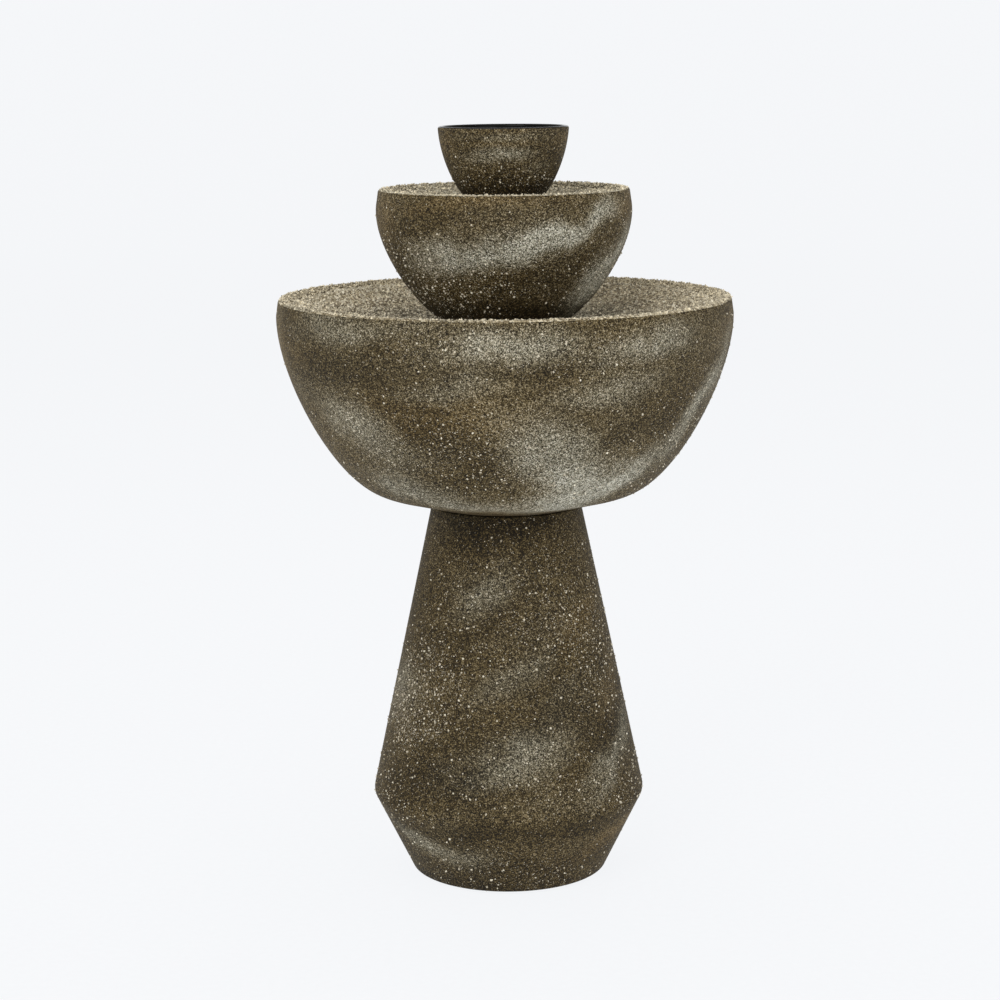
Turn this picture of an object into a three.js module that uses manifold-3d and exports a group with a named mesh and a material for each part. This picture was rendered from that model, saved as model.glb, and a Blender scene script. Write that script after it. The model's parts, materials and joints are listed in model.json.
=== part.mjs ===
// Tabletop water fountain: three round bowls, one above the other, on a flared pedestal.
// The lowest bowl is the reservoir. A small pump stands on its floor under a hollow stand, and
// drives water up a riser into the top bowl. The water spills from rim to rim and drains back
// through the slots of the lowest tray. Millimetres, +Z up, the origin under the pedestal's
// centre on the surface it stands on, the front towards -Y and the power socket towards +Y.
import * as THREE from "three";
import { mergeVertices } from "three/addons/utils/BufferGeometryUtils.js";
import Module from "manifold-3d";

const wasm = await Module();
wasm.setup();

// ---------------------------------------------------------------- driving dimensions
const GAP = 0.3; // left between two pieces that touch
const FINE = 32; // sides of the widest turned pieces
const MEDIUM = 24;
const COARSE = 14; // sides of pipes, washers and rings

const PAD = { r: 5.5, height: 1.2, circleR: 36 };
const PEDESTAL = {
  bottomZ: 1.2,
  baseR: 52,
  widestR: 73.2,
  widestZ: 44.5,
  topR: 39.8,
  topZ: 200.7,
  wall: 5,
  plate: 5.2,
  flangeR: 34,
  flangeZ: 4.8,
  flangeTopZ: 11,
};
const COVER = { r: 46, z: 1.5, thickness: 3 };
const SCREW = { circleR: 40, shankR: 1.6, headR: 3.2, headHeight: 1.6, length: 9 };
const INLET = { z: 70, seatY: 64.8, bossY: 57.5, bossR: 10.5, flangeR: 8, barrelR: 5.4 };

const LOWER = {
  bottomZ: 201.2,
  flatR: 40,
  curveR: 66, // where its side's curve leaves the sloping underside
  curveZ: 208.2,
  pulls: [[90.3, 212.8], [120.8, 271.9]], // what the ends of that curve lean towards
  wall: 6.5,
  floorR: 50,
  rimR: 120,
  curveTopZ: 303,
  lipR: 115.6, // inside this the lip slopes down to the tray
  lipZ: 311.5,
  lipFootZ: 309,
};
const LOWER_TRAY = { r: 111.6, edgeZ: 304.3, padZ: 290.5, padR: 34, thickness: 4.3, holeR: 14 };
const DRAIN = { innerR: 29.5, outerR: 34.5, count: 8 };
const MIDDLE = {
  footZ: 295.1,
  footR: 24,
  footHoleR: 19,
  curveZ: 296.3,
  floorZ: 305,
  plate: 4, // its floor round the standpipe
  pulls: [[40, 296.3], [71.5, 338]],
  wall: 4.5,
  rimR: 66.4,
  curveTopZ: 362,
  lipR: 63.2,
  lipZ: 367.8,
  lipFootZ: 365.5,
};
const MIDDLE_TRAY = { r: 60, edgeZ: 362, padZ: 357.2, padR: 20, thickness: 3, holeR: 6 };
const TRAY_RIM = 6; // width of the flat edge that a tray rests on
const TOP = {
  footZ: 360.5,
  footR: 17.5,
  footHoleR: 13,
  floorZ: 370,
  pulls: [[25.2, 366.5], [32.9, 383]],
  wall: 3,
  rimR: 34.1,
  curveTopZ: 398,
  lipZ: 400,
};

const STAND = { r: 47, wall: 3.5, bottomZ: 208, topZ: 290.2, plate: 4, archWidth: 18, archHeight: 13 };
const GLAND = { y: 25, holeR: 6.5, tubeR: 6.1, boreR: 4.4, flangeR: 9.2 };
const LEAD_R = 2.1;
const PUMP = { frontX: -7, backX: 30, halfWidth: 15.5, bottomZ: 213.5, topZ: 247.5, axisZ: 230.5 };
const CHAMBER = { r: 12.5, endX: 2.5 };
const MAGNET_BORE = { r: 8.6, endX: 21 };
const BUSH = { boreR: 4.3, r: 4, holeR: 1.5, endX: 25 };
const SHAFT_R = 1.2;
const INTAKE = { backX: -7.3, frontX: -19, halfWidth: 16.6, halfHeight: 16.2, wall: 1.6 };
const DIAL = { r: 7, frontX: -22, backX: -19.3, pinR: 1.5 };
const HOSE = { r: 6.4, boreR: 4.7, bottomZ: 249.5, topZ: 275 };
const RISER = { r: 8, boreR: 5.4, flangeR: 12.5 };
const PIPE = { boreR: 2.8, spigotR: 4.5, upperR: 4, bottomZ: 278, topZ: 374 };

// ---------------------------------------------------------------- materials
const material = (color, roughness, metalness = 0) =>
  new THREE.MeshStandardMaterial({ color, roughness, metalness });

const stone = material(0x5a503e, 0.55);
const grit = material(0x8f8468, 0.85);
const darkPlastic = material(0x1c1d1f, 0.45);
const greyPlastic = material(0x4a4c4e, 0.5);
const rubber = material(0x26262a, 0.9);
const clearHose = material(0xb9c2bd, 0.3);
const brass = material(0xb08a45, 0.35, 0.9);
const steel = material(0xb6b8ba, 0.3, 0.9);
const whiteCeramic = material(0xe8e6e0, 0.3);
const magnetBlack = material(0x2b2b2e, 0.4, 0.3);

// ---------------------------------------------------------------- solids
const asSolid = (geometry) => {
  const bare = geometry.clone();
  bare.deleteAttribute("normal");
  bare.deleteAttribute("uv");
  const merged = mergeVertices(bare, 1e-4);
  return new wasm.Manifold(
    new wasm.Mesh({
      numProp: 3,
      vertProperties: merged.attributes.position.array,
      triVerts: new Uint32Array(merged.index.array),
    }),
  );
};

const asGeometry = (solid) => {
  const mesh = solid.getMesh();
  const geometry = new THREE.BufferGeometry();
  geometry.setAttribute("position", new THREE.BufferAttribute(mesh.vertProperties, 3));
  geometry.setIndex(new THREE.BufferAttribute(mesh.triVerts, 1));
  return geometry;
};

const join = (...geometries) =>
  asGeometry(geometries.map(asSolid).reduce((sum, next) => sum.add(next)));

const cut = (body, ...tools) =>
  asGeometry(tools.map(asSolid).reduce((left, tool) => left.subtract(tool), asSolid(body)));

// Corners are [r, z] or [r, z, rounding]; a rounded corner becomes a short curve.
function outline(corners, steps = 3) {
  const points = [];
  corners.forEach(([r, z, rounding], index) => {
    const corner = new THREE.Vector2(r, z);
    if (!rounding) {
      points.push(corner);
      return;
    }
    const towards = (other) =>
      new THREE.Vector2(other[0], other[1]).sub(corner).setLength(rounding).add(corner);
    const before = towards(corners[(index + corners.length - 1) % corners.length]);
    const after = towards(corners[(index + 1) % corners.length]);
    points.push(...new THREE.QuadraticBezierCurve(before, corner, after).getPoints(steps));
  });
  return points;
}

// Turned about the Z axis. The outline runs up the outside and down the inside.
function turned(corners, sides, steps = 3) {
  const points = outline(corners, steps);
  const onAxis = points[0].x === 0;
  if (!onAxis) points.push(points[0].clone());
  return new THREE.LatheGeometry(points, sides).rotateX(Math.PI / 2);
}

const rod = (r, bottomZ, topZ, sides = COARSE) =>
  turned([[0, bottomZ], [r, bottomZ], [r, topZ], [0, topZ]], sides);

const ring = (r, holeR, bottomZ, topZ, sides = COARSE) =>
  turned([[r, bottomZ], [r, topZ], [holeR, topZ], [holeR, bottomZ]], sides);

const block = (sizeX, sizeY, sizeZ, x, y, z) =>
  new THREE.BoxGeometry(sizeX, sizeY, sizeZ).translate(x, y, z);

// A hexagon nut with its flats towards +Y and -Y.
const hexNut = (acrossCorners, holeR, bottomZ, topZ) =>
  cut(
    rod(acrossCorners / 2, bottomZ, topZ, 6).rotateZ(Math.PI / 2),
    rod(holeR, bottomZ - 1, topZ + 1),
  );

// A ring of round section, for an O-ring.
const seal = (middleR, sectionR, z) =>
  new THREE.TorusGeometry(middleR, sectionR, 6, COARSE).translate(0, 0, z);

// A solid turned about Z becomes one turned about X, with its z values read as x.
const alongX = (geometry) => geometry.rotateY(Math.PI / 2);

// A plate with rounded corners in the YZ plane, from x = fromX to toX.
function roundedPlate(halfY, halfZ, corner, fromX, toX) {
  const shape = new THREE.Shape();
  shape.moveTo(-halfZ + corner, -halfY);
  shape.lineTo(halfZ - corner, -halfY);
  shape.absarc(halfZ - corner, -halfY + corner, corner, -Math.PI / 2, 0);
  shape.absarc(halfZ - corner, halfY - corner, corner, 0, Math.PI / 2);
  shape.absarc(-halfZ + corner, halfY - corner, corner, Math.PI / 2, Math.PI);
  shape.absarc(-halfZ + corner, -halfY + corner, corner, Math.PI, Math.PI * 1.5);
  const plate = new THREE.ExtrudeGeometry(shape, {
    depth: toX - fromX,
    bevelEnabled: false,
    curveSegments: 3,
  });
  return alongX(plate).translate(fromX, 0, 0);
}

// ---------------------------------------------------------------- the assembly
const fountain = new THREE.Group();

function add(name, geometry, finish) {
  const mesh = new THREE.Mesh(geometry, finish);
  mesh.name = name;
  fountain.add(mesh);
  return mesh;
}

// The same geometry at several angles about the Z axis, each its own piece.
function addAround(name, geometry, finish, angles) {
  angles.forEach((degrees, index) => {
    add(`${name}_${index + 1}`, geometry, finish).rotation.z = THREE.MathUtils.degToRad(degrees);
  });
}

// The outer curve of a bowl from its underside to just below its lip, as a cubic curve.
function bowlCurve(...controls) {
  const [start, firstPull, secondPull, end] = controls.map(([r, z]) => new THREE.Vector2(r, z));
  return new THREE.CubicBezierCurve(start, firstPull, secondPull, end);
}

// Points along a bowl's curve, moved inwards by the wall's thickness.
function curvePoints(curve, steps, inwards = 0) {
  return Array.from({ length: steps + 1 }, (_, index) => {
    const t = index / steps;
    const point = curve.getPoint(t);
    const tangent = curve.getTangent(t);
    return [point.x - tangent.y * inwards, point.y + tangent.x * inwards];
  });
}

// ---- pedestal: a hollow shell, widest a little above its base
function addPedestal() {
  const p = PEDESTAL;
  const shell = turned(
    [
      [0, p.topZ - p.plate],
      [p.topR - p.wall - 0.8, p.topZ - p.plate],
      [p.widestR - p.wall - 0.4, p.widestZ],
      [p.baseR - 1, p.flangeTopZ],
      [p.flangeR, p.flangeTopZ],
      [p.flangeR, p.flangeZ],
      [COVER.r + GAP, p.flangeZ],
      [COVER.r + GAP, p.bottomZ],
      [p.baseR, p.bottomZ, 1.5],
      [p.widestR, p.widestZ, 4],
      [p.topR, p.topZ],
      [0, p.topZ],
    ],
    FINE,
    2,
  );
  const inletBoss = rod(INLET.bossR, INLET.bossY, 67, COARSE).rotateX(-Math.PI / 2);
  const inletSeat = rod(INLET.flangeR + 0.6, INLET.seatY, 80).rotateX(-Math.PI / 2);
  const inletHole = rod(INLET.barrelR + GAP, 40, 80).rotateX(-Math.PI / 2);
  const glandHole = rod(GLAND.holeR, p.topZ - 20, p.topZ + 5).translate(0, GLAND.y, 0);
  const pilotHoles = [0, 90, 180, 270].map((degrees) =>
    rod(SCREW.shankR + GAP, p.flangeZ - 1, p.flangeTopZ + 1, 10)
      .translate(SCREW.circleR, 0, 0)
      .rotateZ(THREE.MathUtils.degToRad(degrees)),
  );
  // A rod turned towards +Y has its z values read as y, and is then lifted to the inlet.
  [inletBoss, inletSeat, inletHole].forEach((tool) => tool.translate(0, 0, INLET.z));
  const bossed = join(shell, inletBoss);
  add("pedestal_shell", cut(bossed, inletSeat, inletHole, glandHole, ...pilotHoles), stone);
}

function addBase() {
  const { r, z, thickness } = COVER;
  const headZ = z + SCREW.headHeight;
  const screwHoles = [0, 90, 180, 270].flatMap((degrees) =>
    [rod(SCREW.shankR + GAP, z - 1, z + thickness + 1, 10), rod(SCREW.headR + GAP, z - 1, headZ, 12)].map(
      (tool) =>
        tool.translate(SCREW.circleR, 0, 0).rotateZ(THREE.MathUtils.degToRad(degrees)),
    ),
  );
  add("base_cover", cut(rod(r, z, z + thickness, FINE), ...screwHoles), darkPlastic);

  const screw = cut(
    turned(
      [
        [0, z + 0.1],
        [SCREW.headR, z + 0.1],
        [SCREW.headR, headZ - GAP],
        [SCREW.shankR, headZ - GAP],
        [SCREW.shankR, z + SCREW.length],
        [0, z + SCREW.length + 1],
      ],
      12,
    ),
    block(4, 0.8, 1, 0, 0, z + 0.1),
    block(0.8, 4, 1, 0, 0, z + 0.1),
  ).translate(SCREW.circleR, 0, 0);
  addAround("base_screw", screw, steel, [0, 90, 180, 270]);

  const pad = rod(PAD.r, 0, PAD.height, 16).translate(PAD.circleR, 0, 0);
  addAround("foot_pad", pad, rubber, [45, 135, 225, 315]);
}

// ---- low-voltage power socket in the pedestal's back
function addInlet() {
  const faceY = INLET.seatY + GAP + 1.8;
  const towardsBack = (geometry) => geometry.rotateX(-Math.PI / 2).translate(0, 0, INLET.z);
  const barrel = turned(
    [
      [0, 46],
      [INLET.barrelR, 46],
      [INLET.barrelR, INLET.seatY + GAP],
      [INLET.flangeR, INLET.seatY + GAP],
      [INLET.flangeR, faceY],
      [2.9, faceY],
      [2.9, faceY - 10],
      [1, faceY - 10],
      [1, faceY - 1],
      [0, faceY - 1],
    ],
    COARSE,
  );
  add("power_socket", towardsBack(barrel), darkPlastic);
  const nutFrontY = INLET.bossY - GAP;
  const nut = hexNut(17, INLET.barrelR + GAP, nutFrontY - 3.5, nutFrontY);
  add("power_socket_nut", towardsBack(nut), steel);
}

// ---- the lead from the pump down through the bowl's floor to the power socket
function addPumpLead() {
  const route = new THREE.CatmullRomCurve3(
    [
      [24, PUMP.halfWidth + GAP, 238],
      [24, PUMP.halfWidth + 3, 238],
      [21.5, 22, 238],
      [14, 26.5, 237],
      [4, 26.5, 232],
      [0, GLAND.y, 224],
      [0, GLAND.y, 216],
      [0, GLAND.y, 202],
      [0, GLAND.y, 186],
      [0, 30, 160],
      [0, 38, 120],
      [0, 41, 90],
      [0, 40.5, 76],
      [0, 41.6, INLET.z],
      [0, 45.4, INLET.z],
    ].map(([x, y, z]) => new THREE.Vector3(x, y, z)),
  );
  const section = new THREE.Shape().absarc(0, 0, LEAD_R, 0, Math.PI * 2);
  const lead = new THREE.ExtrudeGeometry(section, {
    steps: 36,
    curveSegments: 4,
    extrudePath: route,
  });
  add("pump_lead", lead, rubber);
}

// ---- bulkhead and gland that carry the lead through the floor, watertight
function addGland() {
  const { y, tubeR, boreR, flangeR } = GLAND;
  const floorZ = LOWER.bottomZ + LOWER.wall;
  const gasketZ = floorZ + GAP;
  const flangeZ = gasketZ + 1 + GAP;
  const plateZ = PEDESTAL.topZ - PEDESTAL.plate;
  const place = (geometry) => geometry.translate(0, y, 0);
  const fitting = turned(
    [
      [tubeR, plateZ - 8],
      [tubeR, flangeZ],
      [flangeR, flangeZ],
      [flangeR, flangeZ + 2],
      [tubeR, flangeZ + 2],
      [tubeR, flangeZ + 5],
      [boreR, flangeZ + 5],
      [boreR, plateZ - 8],
    ],
    COARSE,
  );
  add("bulkhead_fitting", place(fitting), brass);
  add("bulkhead_gasket", place(ring(flangeR, GLAND.holeR, gasketZ, gasketZ + 1)), rubber);
  add("bulkhead_washer", place(ring(9, GLAND.holeR, plateZ - GAP - 1, plateZ - GAP)), steel);
  const nutTopZ = plateZ - GAP - 1 - GAP;
  add("bulkhead_nut", place(hexNut(18.6, tubeR + GAP, nutTopZ - 4, nutTopZ)), brass);
  const bung = ring(boreR - GAP, LEAD_R + GAP, flangeZ - 3, flangeZ + 5, 16);
  add("gland_bung", place(bung), rubber);
  const cap = turned(
    [
      [tubeR + 1.8, flangeZ + 2 + GAP],
      [tubeR + 1.8, flangeZ + 8, 1],
      [LEAD_R + 0.5, flangeZ + 8],
      [LEAD_R + 0.5, flangeZ + 5 + GAP],
      [tubeR + GAP, flangeZ + 5 + GAP],
      [tubeR + GAP, flangeZ + 2 + GAP],
    ],
    COARSE,
  );
  add("gland_cap", place(cap), darkPlastic);
}

// ---- lower bowl: the reservoir
function addLowerBowl() {
  const b = LOWER;
  const curve = bowlCurve([b.curveR, b.curveZ], ...b.pulls, [b.rimR, b.curveTopZ]);
  const outside = curvePoints(curve, 7);
  const ledgeZ = LOWER_TRAY.edgeZ - GAP;
  const inside = curvePoints(curve, 7, b.wall)
    .filter(([, z]) => z < ledgeZ - 12)
    .reverse();
  const bowl = turned(
    [
      [0, b.bottomZ],
      [b.flatR, b.bottomZ],
      ...outside,
      [b.rimR - 1.2, b.lipZ, 2],
      [b.lipR, b.lipZ, 0.8],
      [LOWER_TRAY.r + 0.6, b.lipFootZ],
      [LOWER_TRAY.r + 0.6, ledgeZ],
      [LOWER_TRAY.r - TRAY_RIM + 0.8, ledgeZ],
      [LOWER_TRAY.r - TRAY_RIM + 0.8, ledgeZ - 3],
      [113, ledgeZ - 11],
      ...inside,
      [b.floorR, b.bottomZ + b.wall],
      [0, b.bottomZ + b.wall],
    ],
    FINE,
    2,
  );
  const hole = rod(GLAND.holeR, b.bottomZ - 5, b.bottomZ + 20).translate(0, GLAND.y, 0);
  add("lower_bowl", cut(bowl, hole), stone);
}

// A shallow dish: its top falls from the edge to a flat pad in the middle, with a hole.
function trayCorners({ r, edgeZ, padZ, padR, thickness, holeR }) {
  const fall = edgeZ - padZ;
  const slope = [0.35, 0.7].map((step) => [
    padR + (r - TRAY_RIM - padR) * step,
    padZ + fall * step ** 1.5,
  ]);
  return [
    [holeR, padZ],
    [padR, padZ],
    ...slope,
    [r - TRAY_RIM, edgeZ],
    [r, edgeZ],
    [r, edgeZ + thickness],
    [r - TRAY_RIM, edgeZ + thickness],
    ...slope.map(([x, z]) => [x, z + thickness]).reverse(),
    [padR, padZ + thickness],
    [holeR, padZ + thickness],
  ];
}

// One drain slot, an arc about the Z axis.
function drainSlot(index) {
  const share = (Math.PI * 2) / DRAIN.count;
  const start = index * share + share * 0.2;
  const end = (index + 1) * share - share * 0.2;
  const arc = new THREE.Shape();
  arc.absarc(0, 0, DRAIN.outerR, start, end, false);
  arc.absarc(0, 0, DRAIN.innerR, end, start, true);
  const slot = new THREE.ExtrudeGeometry(arc, { depth: 20, bevelEnabled: false, curveSegments: 3 });
  return slot.translate(0, 0, LOWER_TRAY.padZ - 8);
}

function addTrays() {
  const slots = Array.from({ length: DRAIN.count }, (_, index) => drainSlot(index));
  add("lower_tray", cut(turned(trayCorners(LOWER_TRAY), FINE), ...slots), grit);
  add("middle_tray", turned(trayCorners(MIDDLE_TRAY), MEDIUM), grit);
}

// ---- middle bowl, on a foot ring that hides the standpipe's nut
function addMiddleBowl() {
  const b = MIDDLE;
  const { floorZ } = b;
  const curve = bowlCurve([b.footR + 1, b.curveZ], ...b.pulls, [b.rimR, b.curveTopZ]);
  const ledgeZ = MIDDLE_TRAY.edgeZ - GAP;
  const inside = curvePoints(curve, 6, b.wall)
    .filter(([, z]) => z < ledgeZ - 9 && z > floorZ + 1)
    .reverse();
  const bowl = turned(
    [
      [b.footHoleR, b.footZ],
      [b.footR, b.footZ],
      ...curvePoints(curve, 6),
      [b.rimR - 0.8, b.lipZ, 1.6],
      [b.lipR, b.lipZ, 0.6],
      [MIDDLE_TRAY.r + 0.6, b.lipFootZ],
      [MIDDLE_TRAY.r + 0.6, ledgeZ],
      [MIDDLE_TRAY.r - TRAY_RIM + 0.8, ledgeZ],
      [MIDDLE_TRAY.r - TRAY_RIM + 0.8, ledgeZ - 2],
      [61.3, ledgeZ - 8],
      ...inside,
      [30, floorZ],
      [PIPE.spigotR + 0.8, floorZ],
      [PIPE.spigotR + 0.8, floorZ - b.plate],
      [b.footHoleR, floorZ - b.plate],
    ],
    MEDIUM + 4,
    2,
  );
  add("middle_bowl", bowl, stone);
}

// ---- top bowl, a deep cup with a black glaze inside
function addTopBowl() {
  const b = TOP;
  const { floorZ } = b;
  const curve = bowlCurve([b.footR, b.footZ], ...b.pulls, [b.rimR, b.curveTopZ]);
  const inside = curvePoints(curve, 5, b.wall)
    .filter(([, z]) => z > floorZ + 1)
    .reverse();
  const bowl = turned(
    [
      [b.footHoleR, b.footZ],
      ...curvePoints(curve, 5),
      [b.rimR, b.lipZ, 1.2],
      [b.rimR - b.wall, b.lipZ, 1.2],
      ...inside,
      [17, floorZ],
      [6.6, floorZ],
      [6.6, floorZ - b.wall],
      [b.footHoleR, floorZ - b.wall],
    ],
    MEDIUM,
    2,
  );
  add("top_bowl", bowl, stone);
}

// ---- nozzle of the top bowl, clamped through its floor
function addNozzle() {
  const { floorZ } = TOP;
  const nozzle = turned(
    [
      [6, 361.2],
      [6, floorZ + 1.6],
      [10, floorZ + 1.6],
      [10, floorZ + 3.6],
      [6, floorZ + 4.6],
      [4, 388],
      [2.4, 388],
      [2.4, 377],
      [PIPE.upperR + 0.4, 376],
      [PIPE.upperR + 0.4, 361.2],
    ],
    COARSE,
  );
  add("nozzle", nozzle, brass);
  add("nozzle_gasket", ring(10, 6.6, floorZ + GAP, floorZ + 1.3), rubber);
  add("nozzle_nut", hexNut(20, 6 + GAP, 362, 366.7), brass);
}

// ---- standpipe: clamped in the middle bowl's floor, its spigot plugs into the riser socket
function addStandpipe() {
  const { floorZ } = MIDDLE;
  const flangeZ = floorZ + GAP + 1 + GAP;
  const grooveZ = 283;
  const pipe = turned(
    [
      [PIPE.spigotR - 0.6, PIPE.bottomZ],
      [PIPE.spigotR, PIPE.bottomZ + 1],
      [PIPE.spigotR, grooveZ - 0.9],
      [PIPE.spigotR - 0.8, grooveZ - 0.9],
      [PIPE.spigotR - 0.8, grooveZ + 0.9],
      [PIPE.spigotR, grooveZ + 0.9],
      [PIPE.spigotR, flangeZ],
      [11, flangeZ],
      [11, flangeZ + 2.4],
      [PIPE.upperR, flangeZ + 4],
      [PIPE.upperR, PIPE.topZ],
      [PIPE.boreR, PIPE.topZ],
      [PIPE.boreR, PIPE.bottomZ],
    ],
    COARSE,
  );
  add("standpipe", pipe, brass);
  add("standpipe_gasket", ring(11, PIPE.spigotR + 0.8, floorZ + GAP, flangeZ - GAP), rubber);
  add("standpipe_nut", hexNut(20, PIPE.spigotR + GAP, 296.6, 300.7), brass);
  add("standpipe_o_ring", seal(PIPE.spigotR + 0.1, 0.55, grooveZ), rubber);
}

// ---- pump stand: an inverted cup with arches at its foot for the water
function addPumpStand() {
  const s = STAND;
  const shell = turned(
    [
      [s.r, s.bottomZ],
      [s.r, s.topZ, 4],
      [RISER.r + 0.4, s.topZ],
      [RISER.r + 0.4, s.topZ - s.plate],
      [s.r - s.wall, s.topZ - s.plate],
      [s.r - s.wall, s.bottomZ],
    ],
    MEDIUM + 4,
    2,
  );
  const arches = [0, 90].map((degrees) => {
    const straight = block(s.r * 3, s.archWidth, s.archHeight, 0, 0, s.bottomZ + s.archHeight / 2 - 1);
    const crown = alongX(rod(s.archWidth / 2, -s.r * 1.5, s.r * 1.5, 16));
    const arch = join(straight, crown.translate(0, 0, s.bottomZ + s.archHeight - 1));
    return arch.rotateZ(THREE.MathUtils.degToRad(degrees + 45));
  });
  add("pump_stand", cut(shell, ...arches), greyPlastic);

  const plateZ = s.topZ - s.plate;
  const socket = turned(
    [
      [HOSE.boreR - 0.4, 264],
      [HOSE.boreR - 0.4, 275.4],
      [RISER.r, 275.4],
      [RISER.r, s.topZ + 1.4],
      [RISER.flangeR, s.topZ + 1.4],
      [RISER.flangeR, s.topZ + 3.2],
      [RISER.boreR, s.topZ + 3.2],
      [RISER.boreR, 277.6],
      [3, 277.6],
      [3, 264],
    ],
    COARSE,
  );
  add("riser_socket", socket, darkPlastic);
  add("socket_gasket", ring(12, RISER.r + 0.4, s.topZ + GAP, s.topZ + 1.1), rubber);
  add("socket_nut", hexNut(24, RISER.r + GAP, plateZ - GAP - 4, plateZ - GAP), darkPlastic);
}

// ---- submersible pump: its rotor turns about X, its outlet points up on the fountain's axis
function addPump() {
  const { frontX, backX, halfWidth, bottomZ, topZ, axisZ } = PUMP;
  const onAxis = (geometry) => alongX(geometry).translate(0, 0, axisZ);
  const middleZ = (topZ + bottomZ) / 2;
  const housing = roundedPlate(halfWidth, topZ - middleZ, 4, frontX, backX).translate(0, 0, middleZ);
  const outlet = turned(
    [
      [0, topZ - 2],
      [6.5, topZ - 2],
      [6.5, topZ + 1.5],
      [4.3, topZ + 1.5],
      [4.3, topZ + 9],
      [0, topZ + 9],
    ],
    COARSE,
  );
  const body = cut(
    join(housing, outlet),
    onAxis(rod(CHAMBER.r, frontX - 2, CHAMBER.endX, MEDIUM)),
    onAxis(rod(MAGNET_BORE.r, frontX, MAGNET_BORE.endX)),
    onAxis(rod(BUSH.boreR, frontX, BUSH.endX)),
    rod(2.8, axisZ + 5, topZ + 12, 12),
  );
  add("pump_body", body, darkPlastic);

  const shaft = rod(SHAFT_R, frontX - 2.4, BUSH.endX - GAP, 10);
  add("rotor_shaft", onAxis(shaft), whiteCeramic);
  const rearBush = ring(BUSH.r, BUSH.holeR, MAGNET_BORE.endX + 0.4, BUSH.endX - GAP, 14);
  add("bush_rear", onAxis(rearBush), rubber);
  add("bush_front", onAxis(ring(3.2, BUSH.holeR, frontX - 2.4, frontX - 0.4, 14)), rubber);

  const inletHoles = Array.from({ length: 6 }, (_, index) =>
    rod(2.2, -3, 3, 10).translate(7.2, 0, 0).rotateZ((index * Math.PI) / 3),
  );
  const coverPlate = cut(ring(14, 3.5, -1.2, 1.2, MEDIUM), ...inletHoles);
  add("volute_cover", onAxis(coverPlate.translate(0, 0, frontX - 1.5)), greyPlastic);

  const magnet = ring(MAGNET_BORE.r - 0.7, SHAFT_R + GAP, 3.4, MAGNET_BORE.endX - 0.6);
  const hub = ring(4, SHAFT_R + GAP, frontX + 0.6, 4);
  const disc = ring(11, SHAFT_R + GAP, 0.8, 2, 24);
  const blades = Array.from({ length: 6 }, (_, index) =>
    block(8, 1.3, 6, 7, 0, -2.2).rotateZ((index * Math.PI) / 3),
  );
  add("pump_rotor", onAxis(join(magnet, hub, disc, ...blades)), magnetBlack);

  const floorZ = LOWER.bottomZ + LOWER.wall;
  const cup = turned(
    [
      [0, floorZ + 2],
      [4.8, floorZ + GAP],
      [5.6, floorZ + GAP],
      [1.8, floorZ + 3.8],
      [1.8, bottomZ - GAP],
      [0, bottomZ - GAP],
    ],
    12,
  );
  [[2, -10], [2, 10], [24, -10], [24, 10]].forEach(([x, y], index) => {
    add(`suction_cup_${index + 1}`, cup.clone().translate(x, y, 0), rubber);
  });

  add("riser_hose", ring(HOSE.r, HOSE.boreR, HOSE.bottomZ, HOSE.topZ), clearHose);
}

// ---- pump intake: a slotted cover that pulls off, and the dial that sets the flow
function addIntake() {
  const { backX, frontX, halfWidth, halfHeight, wall } = INTAKE;
  const { axisZ } = PUMP;
  const outer = roundedPlate(halfWidth, halfHeight, 4, frontX, backX);
  const hollow = roundedPlate(halfWidth - wall, halfHeight - wall, 2.6, frontX + wall, backX + 2);
  const slots = [-12, -9.6, 9.6, 12].map((y) => block(wall * 4, 1.4, 19, frontX, y, 0));
  const windows = [90, 210, 330].map((degrees) =>
    alongX(rod(1.9, frontX - 3, frontX + 4, 12).translate(4, 0, 0).rotateZ(THREE.MathUtils.degToRad(degrees))),
  );
  const pinHole = alongX(rod(DIAL.pinR + GAP, frontX - 3, frontX + 4, 12));
  add("intake_cover", cut(outer, hollow, ...slots, ...windows, pinHole).translate(0, 0, axisZ), darkPlastic);

  const dialWindows = [90, 210, 330].map((degrees) =>
    rod(1.9, DIAL.frontX - 2, DIAL.backX + 2, 12)
      .translate(4, 0, 0)
      .rotateZ(THREE.MathUtils.degToRad(degrees)),
  );
  const grip = block(1.4, 11, 1.6, 0, 0, DIAL.frontX + 0.2);
  const disc = rod(DIAL.r, DIAL.frontX + 1, DIAL.backX);
  const pin = rod(DIAL.pinR, DIAL.backX - 1, DIAL.backX + 3, 12);
  const dial = cut(join(disc, pin, grip), ...dialWindows);
  add("flow_dial", alongX(dial).translate(0, 0, axisZ), greyPlastic);
}

addPedestal();
addBase();
addInlet();
addPumpLead();
addGland();
addLowerBowl();
addTrays();
addMiddleBowl();
addTopBowl();
addNozzle();
addStandpipe();
addPumpStand();
addPump();
addIntake();

export default fountain;
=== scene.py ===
"""The looks of a tabletop water fountain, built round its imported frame.

Three mottled, stone-coated bowls stand one above the other on a flared pedestal. The two lower
bowls hold grit-covered trays and the top bowl is glazed black inside. Sizes are in millimetres
and are turned into metres as the meshes are made. The front faces -Y.
"""
import json
import logging
import math
import random
from dataclasses import dataclass, field
from enum import Enum
from functools import cache
from typing import Callable, Sequence

import bmesh
import bpy
from mathutils import Euler, Matrix, Vector, noise
from mathutils.geometry import interpolate_bezier


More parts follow.
